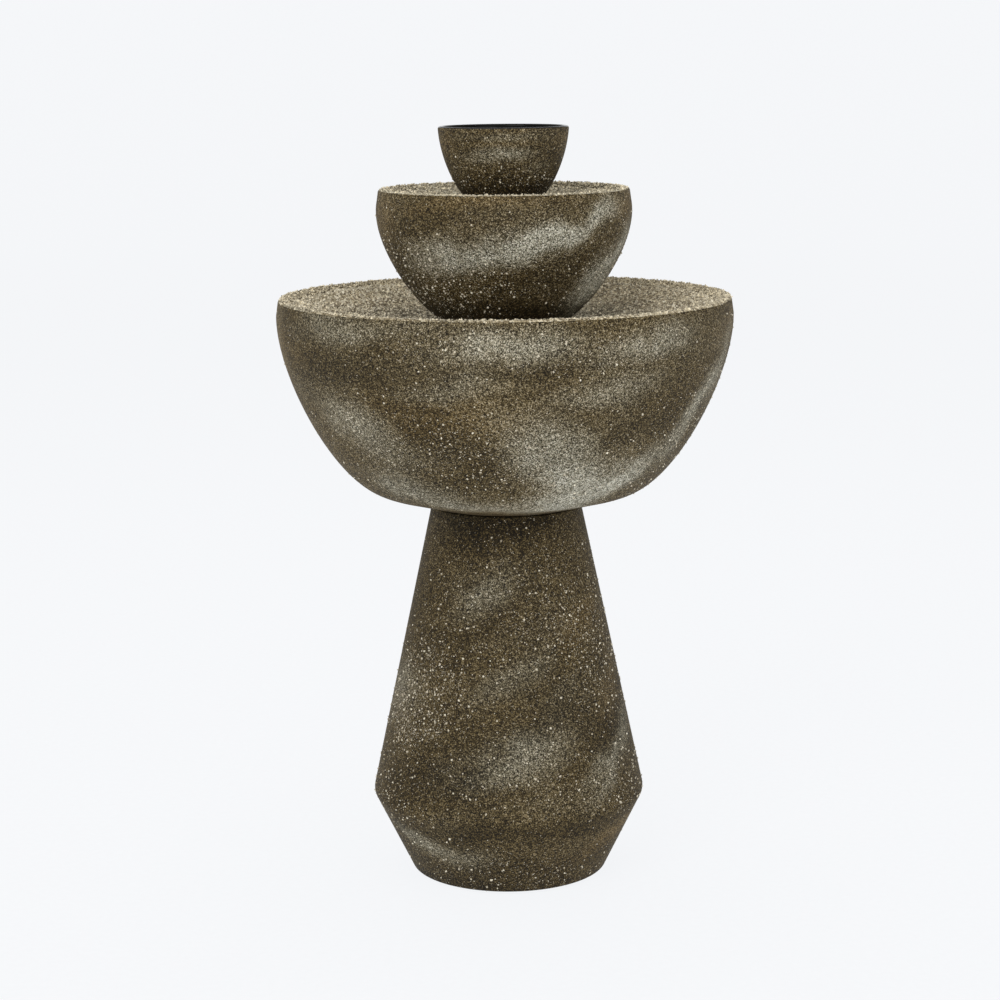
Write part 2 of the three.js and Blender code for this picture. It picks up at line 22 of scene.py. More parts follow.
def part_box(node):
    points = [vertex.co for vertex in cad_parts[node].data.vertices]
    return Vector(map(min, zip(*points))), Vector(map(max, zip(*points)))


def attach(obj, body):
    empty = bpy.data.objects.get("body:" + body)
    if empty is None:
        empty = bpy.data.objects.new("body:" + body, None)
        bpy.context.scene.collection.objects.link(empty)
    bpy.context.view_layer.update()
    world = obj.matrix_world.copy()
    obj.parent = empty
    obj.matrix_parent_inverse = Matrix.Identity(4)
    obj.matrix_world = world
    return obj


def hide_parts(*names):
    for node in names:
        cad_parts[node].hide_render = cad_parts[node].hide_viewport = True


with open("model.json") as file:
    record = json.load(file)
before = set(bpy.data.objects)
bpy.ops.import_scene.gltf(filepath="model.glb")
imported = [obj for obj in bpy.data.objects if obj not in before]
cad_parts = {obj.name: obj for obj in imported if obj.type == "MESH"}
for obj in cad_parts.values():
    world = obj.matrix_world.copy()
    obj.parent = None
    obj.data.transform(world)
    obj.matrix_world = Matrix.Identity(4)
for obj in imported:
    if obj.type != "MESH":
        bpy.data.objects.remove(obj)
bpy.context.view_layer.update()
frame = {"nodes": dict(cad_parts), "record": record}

MM = 0.001
FULL_TURN = 2 * math.pi
LOG = logging.getLogger("fountain")

Point = tuple[float, float]
Colour = tuple[float, float, float]
Density = Callable[[float, float, float], float]


@cache
def cad_box(node: str) -> tuple[Vector, Vector]:
    """Returns a CAD node's box in millimetres.

    Args:
        node: the node's name.

    Returns:
        Its lowest and its highest corner.
    """
    low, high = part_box(node)
    return low / MM, high / MM


# ------------------------------------------------------------------ materials: the wiring
class NodeSheet:
    """One material's nodes, added in the order in which its finish is mixed."""

    def __init__(self, name: str) -> None:
        """Starts an empty material that ends in one Principled shader.

        Args:
            name: the material's name.
        """
        self.material = bpy.data.materials.new(name)
        self.material.use_nodes = True
        self.tree = self.material.node_tree
        self.tree.nodes.clear()
        self.shader = self.tree.nodes.new("ShaderNodeBsdfPrincipled")
        output = self.tree.nodes.new("ShaderNodeOutputMaterial")
        self.tree.links.new(self.shader.outputs["BSDF"], output.inputs["Surface"])

    def put(self, socket: bpy.types.NodeSocket, value: object) -> None:
        """Links an output to a socket, or sets the socket to a plain value.

        Args:
            socket: the input.
            value: another node's output, a number, or a colour.
        """
        if isinstance(value, bpy.types.NodeSocket):
            self.tree.links.new(value, socket)
        elif isinstance(value, tuple) and socket.type == "RGBA" and len(value) == 3:
            socket.default_value = (*value, 1.0)
        else:
            socket.default_value = value

    def place(self) -> bpy.types.NodeSocket:
        """Returns the surface point in the piece's own coordinates."""
        return self.tree.nodes.new("ShaderNodeTexCoord").outputs["Object"]

    def math(
        self, operation: str, first: object, second: object = 0.0, clamp: bool = False
    ) -> bpy.types.NodeSocket:
        """Adds a Math node.

        Args:
            operation: the node's operation.
            first: its first input.
            second: its second input.
            clamp: whether the result is kept between 0 and 1.

        Returns:
            The result's socket.
        """
        node = self.tree.nodes.new("ShaderNodeMath")
        node.operation = operation
        node.use_clamp = clamp
        self.put(node.inputs[0], first)
        self.put(node.inputs[1], second)
        return node.outputs[0]

    def vector_math(
        self, operation: str, first: object, second: object = (0.0, 0.0, 0.0)
    ) -> bpy.types.Node:
        """Adds a Vector Math node and returns it.

        Args:
            operation: the node's operation.
            first: its first input.
            second: its second input.

        Returns:
            The node, whose outputs are the vector and the value.
        """
        node = self.tree.nodes.new("ShaderNodeVectorMath")
        node.operation = operation
        self.put(node.inputs[0], first)
        self.put(node.inputs[1], second)
        return node

    def split(self, vector: bpy.types.NodeSocket) -> list[bpy.types.NodeSocket]:
        """Returns the three sockets that a vector or colour splits into."""
        node = self.tree.nodes.new("ShaderNodeSeparateXYZ")
        self.put(node.inputs[0], vector)
        return list(node.outputs)

    def combine(self, x: object, y: object, z: object = 0.0) -> bpy.types.NodeSocket:
        """Returns the vector made of three values."""
        node = self.tree.nodes.new("ShaderNodeCombineXYZ")
        for socket, value in zip(node.inputs, (x, y, z)):
            self.put(socket, value)
        return node.outputs[0]

    def noise(
        self, vector: object, scale: float, detail: float = 2.0, roughness: float = 0.5
    ) -> bpy.types.Node:
        """Adds a Noise Texture.

        Args:
            vector: where it is read.
            scale: patches per metre.
            detail: how many finer layers lie on it.
            roughness: how strong those layers are.

        Returns:
            The node, whose outputs are the value and the colour.
        """
        node = self.tree.nodes.new("ShaderNodeTexNoise")
        self.put(node.inputs["Vector"], vector)
        node.inputs["Scale"].default_value = scale
        node.inputs["Detail"].default_value = detail
        node.inputs["Roughness"].default_value = roughness
        return node

    def cells(self, vector: object, scale: float) -> tuple[bpy.types.NodeSocket, bpy.types.NodeSocket]:
        """Adds a Voronoi Texture.

        Args:
            vector: where it is read.
            scale: cells per metre.

        Returns:
            The distance to the nearest cell's centre, and a value drawn once for each cell.
        """
        node = self.tree.nodes.new("ShaderNodeTexVoronoi")
        self.put(node.inputs["Vector"], vector)
        node.inputs["Scale"].default_value = scale
        return node.outputs["Distance"], self.split(node.outputs["Color"])[0]

    def remap(
        self,
        value: object,
        low: float,
        high: float,
        to_low: float = 0.0,
        to_high: float = 1.0,
        smooth: bool = True,
    ) -> bpy.types.NodeSocket:
        """Adds a Map Range node.

        Args:
            value: the value to map.
            low: the value that gives to_low.
            high: the value that gives to_high.
            to_low: the result at the low end.
            to_high: the result at the high end.
            smooth: whether it eases in and out.

        Returns:
            The result's socket.
        """
        node = self.tree.nodes.new("ShaderNodeMapRange")
        node.interpolation_type = "SMOOTHSTEP" if smooth else "LINEAR"
        for socket, number in zip(node.inputs, (value, low, high, to_low, to_high)):
            self.put(socket, number)
        return node.outputs["Result"]

    def ramp(self, value: object, stops: Sequence[tuple[float, Colour]]) -> bpy.types.NodeSocket:
        """Adds a Color Ramp.

        Args:
            value: the value that runs along it.
            stops: its places and colours, in order.

        Returns:
            The colour's socket.
        """
        node = self.tree.nodes.new("ShaderNodeValToRGB")
        elements = node.color_ramp.elements
        while len(elements) < len(stops):
            elements.new(1.0)
        for element, (place, colour) in zip(elements, stops):
            element.position = place
            element.color = (*colour, 1.0)
        self.put(node.inputs["Fac"], value)
        return node.outputs["Color"]

    def mix(self, share: object, first: object, second: object) -> bpy.types.NodeSocket:
        """Mixes two colours.

        Args:
            share: how much of the second shows.
            first: the first colour.
            second: the second colour.

        Returns:
            The mixed colour's socket.
        """
        node = self.tree.nodes.new("ShaderNodeMix")
        node.data_type = "RGBA"
        self.put(node.inputs[0], share)
        self.put(node.inputs[6], first)
        self.put(node.inputs[7], second)
        return node.outputs[2]

    def mapped(
        self,
        vector: object,
        place: Sequence[float] = (0, 0, 0),
        turn: Sequence[float] = (0, 0, 0),
        size: Sequence[float] = (1, 1, 1),
    ) -> bpy.types.NodeSocket:
        """Reads a vector from a pattern's own place, turn and size.

        Args:
            vector: the vector.
            place: the pattern's centre.
            turn: the pattern's turn, in radians.
            size: the pattern's size along each of its own axes.

        Returns:
            The vector as that pattern sees it.
        """
        node = self.tree.nodes.new("ShaderNodeMapping")
        node.vector_type = "TEXTURE"
        self.put(node.inputs["Vector"], vector)
        node.inputs["Location"].default_value = place
        node.inputs["Rotation"].default_value = turn
        node.inputs["Scale"].default_value = size
        return node.outputs[0]

    def bump(
        self, height: object, strength: float, depth_mm: float, under: object = None
    ) -> bpy.types.NodeSocket:
        """Adds a Bump node.

        Args:
            height: the height pattern, from 0 to 1.
            strength: how strong it is.
            depth_mm: how deep it is, in millimetres.
            under: the normal that it lies on.

        Returns:
            The normal's socket.
        """
        node = self.tree.nodes.new("ShaderNodeBump")
        node.inputs["Strength"].default_value = strength
        node.inputs["Distance"].default_value = depth_mm * MM
        self.put(node.inputs["Height"], height)
        if under is not None:
            self.put(node.inputs["Normal"], under)
        return node.outputs[0]

    def surface(self, **sockets: object) -> bpy.types.Material:
        """Sets the shader's inputs, with spaces in their names written as underscores.

        Args:
            **sockets: the inputs and their values.

        Returns:
            The finished material.
        """
        for name, value in sockets.items():
            self.put(self.shader.inputs[name.replace("_", " ")], value)
        return self.material


# ------------------------------------------------------------------ materials: the finishes
class Tint(Enum):
    """What a spray pass leaves on the stone coat; its dark passes also hold painted shade."""

    SILVER = "silver"
    GOLD = "gold"
    # Darker coat, and painted shade where such a pass lies under a bowl or on an underside.
    DARK_AND_PAINTED_SHADE = "dark"


@dataclass(frozen=True)
class SprayPass:
    """One soft, slanted patch of the stone coat; a dark one under a bowl or on an underside is painted
    shade.

    Attributes:
        angle: degrees round the piece from its front, positive towards +X.
        height: millimetres above the table.
        length: half its length round the piece.
        width: half its height.
        tilt: degrees that it rises towards +X.
        strength: from 0 to 1.
        tint: what it leaves.
    """

    angle: float
    height: float
    length: float
    width: float
    tilt: float = 15.0
    strength: float = 1.0
    tint: Tint = Tint.SILVER


@dataclass(frozen=True)
class Shower:
    """A cluster of pale chips and specks on a piece.

    Attributes:
        angle: degrees round the piece from its front.
        height: millimetres above the table.
        spread: its reach round the piece, in degrees.
        rise: its reach up and down.
        weight: how much denser it is than the rest.
    """

    angle: float
    height: float
    spread: float
    rise: float
    weight: float


@dataclass(frozen=True)
class StoneCoat:
    """A sprayed stone coating: dark olive brown, grey clouds, and fine pale grains, with painted shade on
    the piece's underside.

    Attributes:
        name: the material's name.
        radius: the radius at which angles become lengths.
        passes: the soft patches seen from the front.
        showers: where its pale specks crowd together.
        level: how light the coat is between its patches.
        shade_below: the height under which painted shade darkens it.
        shade_depth: how far below that the painted shade is darkest.
        cloud_seed: where the back's clouds are read.
    """

    name: str
    radius: float
    passes: tuple[SprayPass, ...]
    showers: tuple[Shower, ...] = ()
    level: float = 0.42
    shade_below: float = 0.0
    shade_depth: float = 1.0
    cloud_seed: float = 0.0

    BROWN = (
        (0.0, (0.0040, 0.0027, 0.0010)),
        (0.28, (0.0230, 0.0157, 0.0060)),
        (0.50, (0.0740, 0.0525, 0.0205)),
        (0.72, (0.178, 0.134, 0.064)),
        (1.0, (0.46, 0.39, 0.26)),
    )
    SILVERY = (
        (0.0, (0.0075, 0.0070, 0.0050)),
        (0.28, (0.0450, 0.0414, 0.0290)),
        (0.50, (0.147, 0.136, 0.096)),
        (0.72, (0.345, 0.325, 0.246)),
        (1.0, (0.72, 0.70, 0.60)),
    )
    GOLDEN = (
        (0.0, (0.0080, 0.0050, 0.0014)),
        (0.28, (0.0420, 0.0280, 0.0090)),
        (0.50, (0.112, 0.073, 0.026)),
        (0.72, (0.230, 0.162, 0.072)),
        (1.0, (0.50, 0.41, 0.25)),
    )
    SPECK = (0.64, 0.58, 0.455)

    def _patch(self, sheet: NodeSheet, around: object, spray: SprayPass) -> object:
        """Returns the strength of one pass over the surface.

        Args:
            sheet: the material's nodes.
            around: the surface laid flat: length round the piece, then height.
            spray: the pass.

        Returns:
            The strength's socket.
        """
        place = (math.radians(spray.angle) * self.radius * MM, spray.height * MM, 0)
        size = (spray.length * MM, spray.width * MM, 1)
        seen = sheet.mapped(around, place, (0, 0, math.radians(spray.tilt)), size)
        away = sheet.vector_math("LENGTH", seen).outputs["Value"]
        return sheet.remap(away, 1.25, 0.10, 0.0, spray.strength)

    def _patches(self, sheet: NodeSheet, around: object, tint: Tint) -> object:
        """Sums the passes of one tint.

        Args:
            sheet: the material's nodes.
            around: the surface laid flat.
            tint: the tint to sum.

        Returns:
            The total's socket, or 0 where there is no such pass.
        """
        total: object = 0.0
        for spray in (p for p in self.passes if p.tint is tint):
            total = sheet.math("ADD", total, self._patch(sheet, around, spray))
        return total

    def _crowd(self, sheet: NodeSheet, around: object) -> object:
        """Returns how densely the pale specks lie.

        Args:
            sheet: the material's nodes.
            around: the surface laid flat.

        Returns:
            The density's socket.
        """
        total: object = 0.0
        for shower in self.showers:
            reach = math.radians(shower.spread) * self.radius * 1.3
            spray = SprayPass(shower.angle, shower.height, reach, shower.rise * 1.3, 0.0, shower.weight)
            total = sheet.math("ADD", total, self._patch(sheet, around, spray))
        return total

    def _specks(
        self, sheet: NodeSheet, point: object, crowd: object, scale: float, few: float, many: float
    ) -> bpy.types.NodeSocket:
        """Returns where the specks of one size lie.

        Args:
            sheet: the material's nodes.
            point: the surface point.
            crowd: how densely the specks lie.
            scale: cells per metre.
            few: the share of cells with a speck away from the showers.
            many: the further share under a shower.

        Returns:
            The mask's socket.
        """
        distance, draw = sheet.cells(point, scale)
        wanted = sheet.math("ADD", few, sheet.math("MULTIPLY", crowd, many))
        chosen = sheet.math("GREATER_THAN", draw, sheet.math("SUBTRACT", 1.0, wanted))
        return sheet.math("MULTIPLY", sheet.remap(distance, 0.46, 0.26), chosen)

    def make(self) -> bpy.types.Material:
        """Mixes the coat and returns its material."""
        sheet = NodeSheet(self.name)
        point = sheet.place()
        x, y, z = sheet.split(point)
        angle = sheet.math("ARCTAN2", x, sheet.math("MULTIPLY", y, -1.0))
        flat = sheet.combine(sheet.math("MULTIPLY", angle, self.radius * MM), z)
        drift = sheet.noise(point, 30, 3, 0.5).outputs["Color"]
        drift = sheet.vector_math("SUBTRACT", drift, (0.5, 0.5, 0.5)).outputs[0]
        drift = sheet.vector_math("MULTIPLY", drift, (0.036, 0.020, 0.0)).outputs[0]
        around = sheet.vector_math("ADD", flat, drift).outputs[0]

        silver = self._patches(sheet, around, Tint.SILVER)
        gold = self._patches(sheet, around, Tint.GOLD)
        dark = self._patches(sheet, around, Tint.DARK_AND_PAINTED_SHADE)
        seed = (self.cloud_seed, self.cloud_seed * 0.7, self.cloud_seed * 0.3)
        slanted = sheet.mapped(point, seed, (0, math.radians(-16), 0), (2.6, 2.6, 1.0))
        clouds = sheet.noise(slanted, 34, 3, 0.5).outputs["Fac"]
        clouds = sheet.remap(clouds, 0.48, 0.68)
        behind = sheet.remap(y, -0.15 * self.radius * MM, 0.25 * self.radius * MM, 0.10, 0.95)
        silver = sheet.math("ADD", silver, sheet.math("MULTIPLY", clouds, behind))
        mottle = sheet.noise(point, 120, 3, 0.6).outputs["Fac"]
        silver = sheet.math("MULTIPLY", silver, sheet.remap(mottle, 0.30, 0.60, 0.80, 1.08))
        silver = sheet.math("MINIMUM", silver, 1.1)

        _, coarse = sheet.cells(point, 1500)
        _, fine = sheet.cells(point, 2700)
        coarse = sheet.math("MULTIPLY", coarse, 0.34)
        grain = sheet.math("ADD", coarse, sheet.math("MULTIPLY", fine, 0.66))
        grain = sheet.remap(grain, 0.0, 1.0, -0.58, 0.58, smooth=False)
        broad = sheet.noise(point, 16, 2, 0.5).outputs["Fac"]
        level = sheet.math("ADD", self.level, sheet.remap(broad, 0.3, 0.7, -0.05, 0.05))
        level = sheet.math("ADD", level, sheet.math("MULTIPLY", silver, 0.19))
        level = sheet.math("ADD", level, sheet.math("MULTIPLY", gold, 0.03))
        # Dark passes: darker coat, and painted shade where they lie under a bowl or on an underside.
        level = sheet.math("SUBTRACT", level, sheet.math("MULTIPLY", dark, 0.20))
        # Painted shade: the coat darkens below shade_below, darkest shade_depth beneath it, on the piece's
        # underside.
        top, bottom = self.shade_below * MM, (self.shade_below - self.shade_depth) * MM
        level = sheet.math("SUBTRACT", level, sheet.remap(z, top, bottom, 0.0, 0.20))
        level = sheet.math("ADD", level, grain)

        gilt = sheet.math("MULTIPLY", gold, 0.9, True)
        brown = sheet.ramp(level, self.BROWN)
        colour = sheet.mix(gilt, brown, sheet.ramp(level, self.GOLDEN))
        frosted = sheet.math("MULTIPLY", silver, 0.95, True)
        colour = sheet.mix(frosted, colour, sheet.ramp(level, self.SILVERY))

        crowd = self._crowd(sheet, around)
        uneven = sheet.noise(point, 45, 3, 0.65).outputs["Fac"]
        crowd = sheet.math("MULTIPLY", crowd, sheet.remap(uneven, 0.38, 0.62, 0.15, 1.5))
        small = self._specks(sheet, point, crowd, 1600, 0.010, 0.13)
        large = self._specks(sheet, point, crowd, 860, 0.0020, 0.035)
        dust = self._specks(sheet, point, crowd, 2300, 0.014, 0.10)
        small = sheet.math("MULTIPLY", small, 0.85)
        dust = sheet.math("MULTIPLY", dust, 0.7)
        dots = sheet.math("MAXIMUM", sheet.math("MAXIMUM", small, dust), large)
        colour = sheet.mix(sheet.math("MULTIPLY", dots, 0.92), colour, self.SPECK)

        rough = sheet.remap(grain, -0.3, 0.3, 0.66, 0.82, smooth=False)
        pores = sheet.noise(point, 1100, 3, 0.7).outputs["Fac"]
        normal = sheet.bump(pores, 0.35, 0.30)
        normal = sheet.bump(dots, 0.6, 0.25, normal)
        return sheet.surface(Base_Color=colour, Roughness=rough, Normal=normal, Specular_IOR_Level=0.14)


@dataclass(frozen=True)
class GritCoat:
    """Dense beige and brown grit bonded to a dish.

    Attributes:
        name: the material's name.
        level: how light it is.
    """

    name: str
    level: float = 0.5

    COLOURS = (
        (0.0, (0.030, 0.022, 0.012)),
        (0.28, (0.115, 0.088, 0.048)),
        (0.52, (0.275, 0.225, 0.138)),
        (0.75, (0.50, 0.43, 0.290)),
        (1.0, (0.74, 0.68, 0.53)),
    )

    def make(self) -> bpy.types.Material:
        """Mixes the grit and returns its material."""
        sheet = NodeSheet(self.name)
        point = sheet.place()
        near, coarse = sheet.cells(point, 900)
        _, fine = sheet.cells(point, 1900)
        grain = sheet.math("ADD", sheet.math("MULTIPLY", coarse, 0.6), sheet.math("MULTIPLY", fine, 0.4))
        grain = sheet.remap(grain, 0.0, 1.0, -0.55, 0.55, smooth=False)
        clouds = sheet.noise(point, 26, 3, 0.6).outputs["Fac"]
        level = sheet.math("ADD", self.level, sheet.remap(clouds, 0.3, 0.7, -0.12, 0.12))
        level = sheet.math("ADD", level, grain)
        colour = sheet.ramp(level, self.COLOURS)
        mist = sheet.noise(point, 18, 2, 0.5).outputs["Fac"]
        mist = sheet.remap(mist, 0.52, 0.72, 0.0, 0.45)
        out = sheet.vector_math("LENGTH", sheet.vector_math("MULTIPLY", point, (1.0, 1.0, 0.0)).outputs[0])
        near_axis = sheet.remap(out.outputs["Value"], 0.058, 0.092, 0.55, 0.0)
        mist = sheet.math("MAXIMUM", mist, near_axis)
        colour = sheet.mix(mist, colour, sheet.ramp(level, StoneCoat.SILVERY))
        heaps = sheet.math("SUBTRACT", 1.0, near)
        normal = sheet.bump(heaps, 0.9, 0.6)
        return sheet.surface(Base_Color=colour, Roughness=0.88, Normal=normal, Specular_IOR_Level=0.25)


@dataclass(frozen=True)
class ChipStone:
    """Crushed stone: each chip its own shade.

    Attributes:
        name: the material's name.
        dark: the darkest chips.
        light: the lightest chips.
        scale: shades per metre.
    """

    name: str
    dark: Colour
    light: Colour
    scale: float = 900.0

    def make(self) -> bpy.types.Material:
        """Mixes the chips' shades and returns their material."""
        sheet = NodeSheet(self.name)
        point = sheet.place()
        _, shade = sheet.cells(point, self.scale)
        veins = sheet.noise(point, 2600, 2, 0.6).outputs["Fac"]
        shade = sheet.math("ADD", sheet.math("MULTIPLY", shade, 0.8), sheet.math("MULTIPLY", veins, 0.25))
        middle = tuple(a * 0.55 + b * 0.45 for a, b in zip(self.dark, self.light))
        colour = sheet.ramp(shade, ((0.05, self.dark), (0.40, middle), (0.85, self.light)))
        rough = sheet.remap(veins, 0.3, 0.7, 0.7, 0.9)
        normal = sheet.bump(veins, 0.35, 0.15)
        return sheet.surface(Base_Color=colour, Roughness=rough, Normal=normal)


@dataclass(frozen=True)
class BlackGlaze:
    """Black glossy glaze, slightly rippled, as poured inside the top bowl."""

    name: str = "black_glaze"

    def make(self) -> bpy.types.Material:
        """Mixes the glaze and returns its material."""
        sheet = NodeSheet(self.name)
        point = sheet.place()
        pool = sheet.noise(point, 60, 3, 0.5).outputs["Fac"]
        colour = sheet.ramp(pool, ((0.35, (0.003, 0.003, 0.0028)), (0.70, (0.010, 0.010, 0.0085))))
        rough = sheet.remap(sheet.noise(point, 420, 3, 0.6).outputs["Fac"], 0.3, 0.7, 0.10, 0.22)
        normal = sheet.bump(sheet.noise(point, 110, 2, 0.5).outputs["Fac"], 0.12, 1.0)
        return sheet.surface(Base_Color=colour, Roughness=rough, Normal=normal, IOR=1.16)


@dataclass(frozen=True)
class Moulded:
    """Moulded plastic or rubber: fine spark texture and faint flow marks.

    Attributes:
        name: the material's name.
        colour: its colour.
        roughness: its mean roughness.
        texture: grains per metre.
        bite: how deep the texture is, in millimetres.
        sheen: how much dusty sheen lies on it.
    """

    name: str
    colour: Colour
    roughness: float
    texture: float = 1400.0
    bite: float = 0.06
    sheen: float = 0.0

    def make(self) -> bpy.types.Material:
        """Mixes the moulding and returns its material."""
        sheet = NodeSheet(self.name)
        point = sheet.place()
        flow = sheet.noise(sheet.mapped(point, size=(1, 1, 1.6)), 90, 4, 0.65).outputs["Fac"]
        dull = tuple(c * 0.86 for c in self.colour)
        bright = tuple(min(1.0, c * 1.14 + 0.003) for c in self.colour)
        colour = sheet.ramp(flow, ((0.32, dull), (0.68, bright)))
        spark = sheet.noise(point, self.texture, 3, 0.6).outputs["Fac"]
        rough = sheet.remap(flow, 0.3, 0.7, self.roughness - 0.07, self.roughness + 0.08)
        normal = sheet.bump(spark, 0.5, self.bite)
        return sheet.surface(Base_Color=colour, Roughness=rough, Normal=normal, Sheen_Weight=self.sheen)


@dataclass(frozen=True)
class Machined:
    """Turned or plated metal, with fine tool rings round Z and a little tarnish.

    Attributes:
        name: the material's name.
        colour: the clean metal.
        tarnish: the metal where it has dulled.
        roughness: its mean roughness.
    """

    name: str
    colour: Colour
    tarnish: Colour
    roughness: float

    def make(self) -> bpy.types.Material:
        """Mixes the metal and returns its material."""
        sheet = NodeSheet(self.name)
        point = sheet.place()
        patches = sheet.noise(point, 130, 4, 0.65).outputs["Fac"]
        colour = sheet.ramp(patches, ((0.36, self.tarnish), (0.60, self.colour)))
        rings = sheet.noise(sheet.mapped(point, size=(40, 40, 1)), 5200, 1, 0.4).outputs["Fac"]
        rough = sheet.remap(patches, 0.3, 0.7, self.roughness + 0.12, self.roughness)
        normal = sheet.bump(rings, 0.35, 0.03)
        return sheet.surface(Base_Color=colour, Roughness=rough, Metallic=1.0, Normal=normal)


@dataclass(frozen=True)
class SoftHose:
    """Milky, slightly see-through hose.

    Attributes:
        name: the material's name.
    """

    name: str = "milky_hose"

    def make(self) -> bpy.types.Material:
        """Mixes the hose and returns its material."""
        sheet = NodeSheet(self.name)
        point = sheet.place()
        haze = sheet.noise(point, 180, 3, 0.6).outputs["Fac"]
        colour = sheet.ramp(haze, ((0.3, (0.42, 0.47, 0.45)), (0.7, (0.66, 0.70, 0.68))))
        rough = sheet.remap(haze, 0.3, 0.7, 0.18, 0.34)
        return sheet.surface(
            Base_Color=colour, Roughness=rough, Subsurface_Weight=0.3, Subsurface_Scale=0.004
        )


# ------------------------------------------------------------------ turned shapes
def bezier(start: Point, pull: Point, second_pull: Point, end: Point, count: int) -> list[Point]:
    """Returns points along a cubic curve.

    Args:
        start: its first point, as radius and height.
        pull: what its start leans towards.
        second_pull: what its end leans towards.
        end: its last point.
        count: how many points.

    Returns:
        The points, both ends among them.
    """
    controls = [Vector((r, z)) for r, z in (start, pull, second_pull, end)]
    return [(p.x, p.y) for p in interpolate_bezier(*controls, count)]


def inset(points: Sequence[Point], wall: float) -> list[Point]:
    """Moves an outline's points inwards by a wall's thickness.

    Args:
        points: the outside, from the bottom up.
        wall: the thickness.

    Returns:
        The inside, from the bottom up.
    """
    moved = []
    for index, (r, z) in enumerate(points):
        before = points[max(index - 1, 0)]
        after = points[min(index + 1, len(points) - 1)]
        along = Vector((after[0] - before[0], after[1] - before[1])).normalized()
        moved.append((r - along.y * wall, z + along.x * wall))
    return moved


@dataclass
class Turning:
    """A piece turned about Z on a lathe.

    Attributes:
        outline: its corners as radius and height, up the outside and down the inside.
        rounding: the corners to round, by their place in the outline, and by how much.
        steps: sides round the axis.
    """

    outline: Sequence[Point]
    rounding: dict[int, float] = field(default_factory=dict)
    steps: int = 192

    def mesh(self) -> bmesh.types.BMesh:
        """Turns the outline and returns the closed mesh."""
        bm = bmesh.new()
        corners = [bm.verts.new((r * MM, 0, z * MM)) for r, z in self.outline]
        for first, second in zip(corners, corners[1:]):
            bm.edges.new((first, second))
        if self.outline[0][0] > 0:
            bm.edges.new((corners[-1], corners[0]))
        for index, radius in self.rounding.items():
            bmesh.ops.bevel(
                bm,
                geom=[corners[index]],
                offset=radius * MM,
                offset_type="OFFSET",
                segments=5,
                profile=0.5,
                affect="VERTICES",
                material=-1,
            )
        bmesh.ops.spin(
            bm,
            geom=bm.verts[:] + bm.edges[:],
            cent=(0, 0, 0),
            axis=(0, 0, 1),
            dvec=(0, 0, 0),
            angle=FULL_TURN,
            steps=self.steps,
            use_merge=True,
        )
        bmesh.ops.remove_doubles(bm, verts=bm.verts, dist=0.001 * MM)
        bmesh.ops.recalc_face_normals(bm, faces=bm.faces)
        return bm


def finished(name: str, bm: bmesh.types.BMesh, crease: float = 32.0) -> bpy.types.Object:
    """Turns a bmesh into an object with smooth faces and sharp creases.

    Args:
        name: the object's name.
        bm: the mesh, which is freed.
        crease: the angle in degrees above which an edge stays sharp.

    Returns:
        The object, linked to the scene.
    """
    for face in bm.faces:
        face.smooth = True
    for edge in bm.edges:
        edge.smooth = edge.calc_face_angle(0.0) < math.radians(crease)
    mesh = bpy.data.meshes.new(name)
    bm.to_mesh(mesh)
    bm.free()
    made = bpy.data.objects.new(name, mesh)
    bpy.context.scene.collection.objects.link(made)
    return made


def carve(piece: bpy.types.Object, *tools: bmesh.types.BMesh) -> None:
    """Cuts closed shapes out of a piece, and leaves it a plain mesh.

    Args:
        piece: the piece.
        *tools: the shapes to cut out, which are freed.
    """
    cutters = []
    for tool in tools:
        cutter = finished("cutter", tool)
        modifier = piece.modifiers.new("cut", "BOOLEAN")
        modifier.operation = "DIFFERENCE"
        modifier.solver = "EXACT"
        modifier.object = cutter
        cutters.append(cutter)
    bpy.context.view_layer.update()
    shown = piece.evaluated_get(bpy.context.evaluated_depsgraph_get())
    mesh = bpy.data.meshes.new_from_object(shown)
    piece.modifiers.clear()
    piece.data = mesh
    for cutter in cutters:
        bpy.data.objects.remove(cutter)


def rod(radius: float, low: float, high: float, sides: int = 48) -> bmesh.types.BMesh:
    """Returns an upright rod, for a cut or a join.

    Args:
        radius: its radius.
        low: its lower end.
        high: its upper end.
        sides: its sides.

    Returns:
        The closed mesh.
    """
    bm = bmesh.new()
    bmesh.ops.create_cone(
        bm,
        cap_ends=True,
        segments=sides,
        radius1=radius * MM,
        radius2=radius * MM,
        depth=(high - low) * MM,
        matrix=Matrix.Translation((0, 0, (low + high) / 2 * MM)),
    )
    return bm


def moved(bm: bmesh.types.BMesh, matrix: Matrix) -> bmesh.types.BMesh:
    """Moves a bmesh and returns it.

    Args:
        bm: the mesh.
        matrix: how it moves, in metres.

    Returns:
        The same mesh.
    """
    bmesh.ops.transform(bm, matrix=matrix, verts=bm.verts)
    return bm


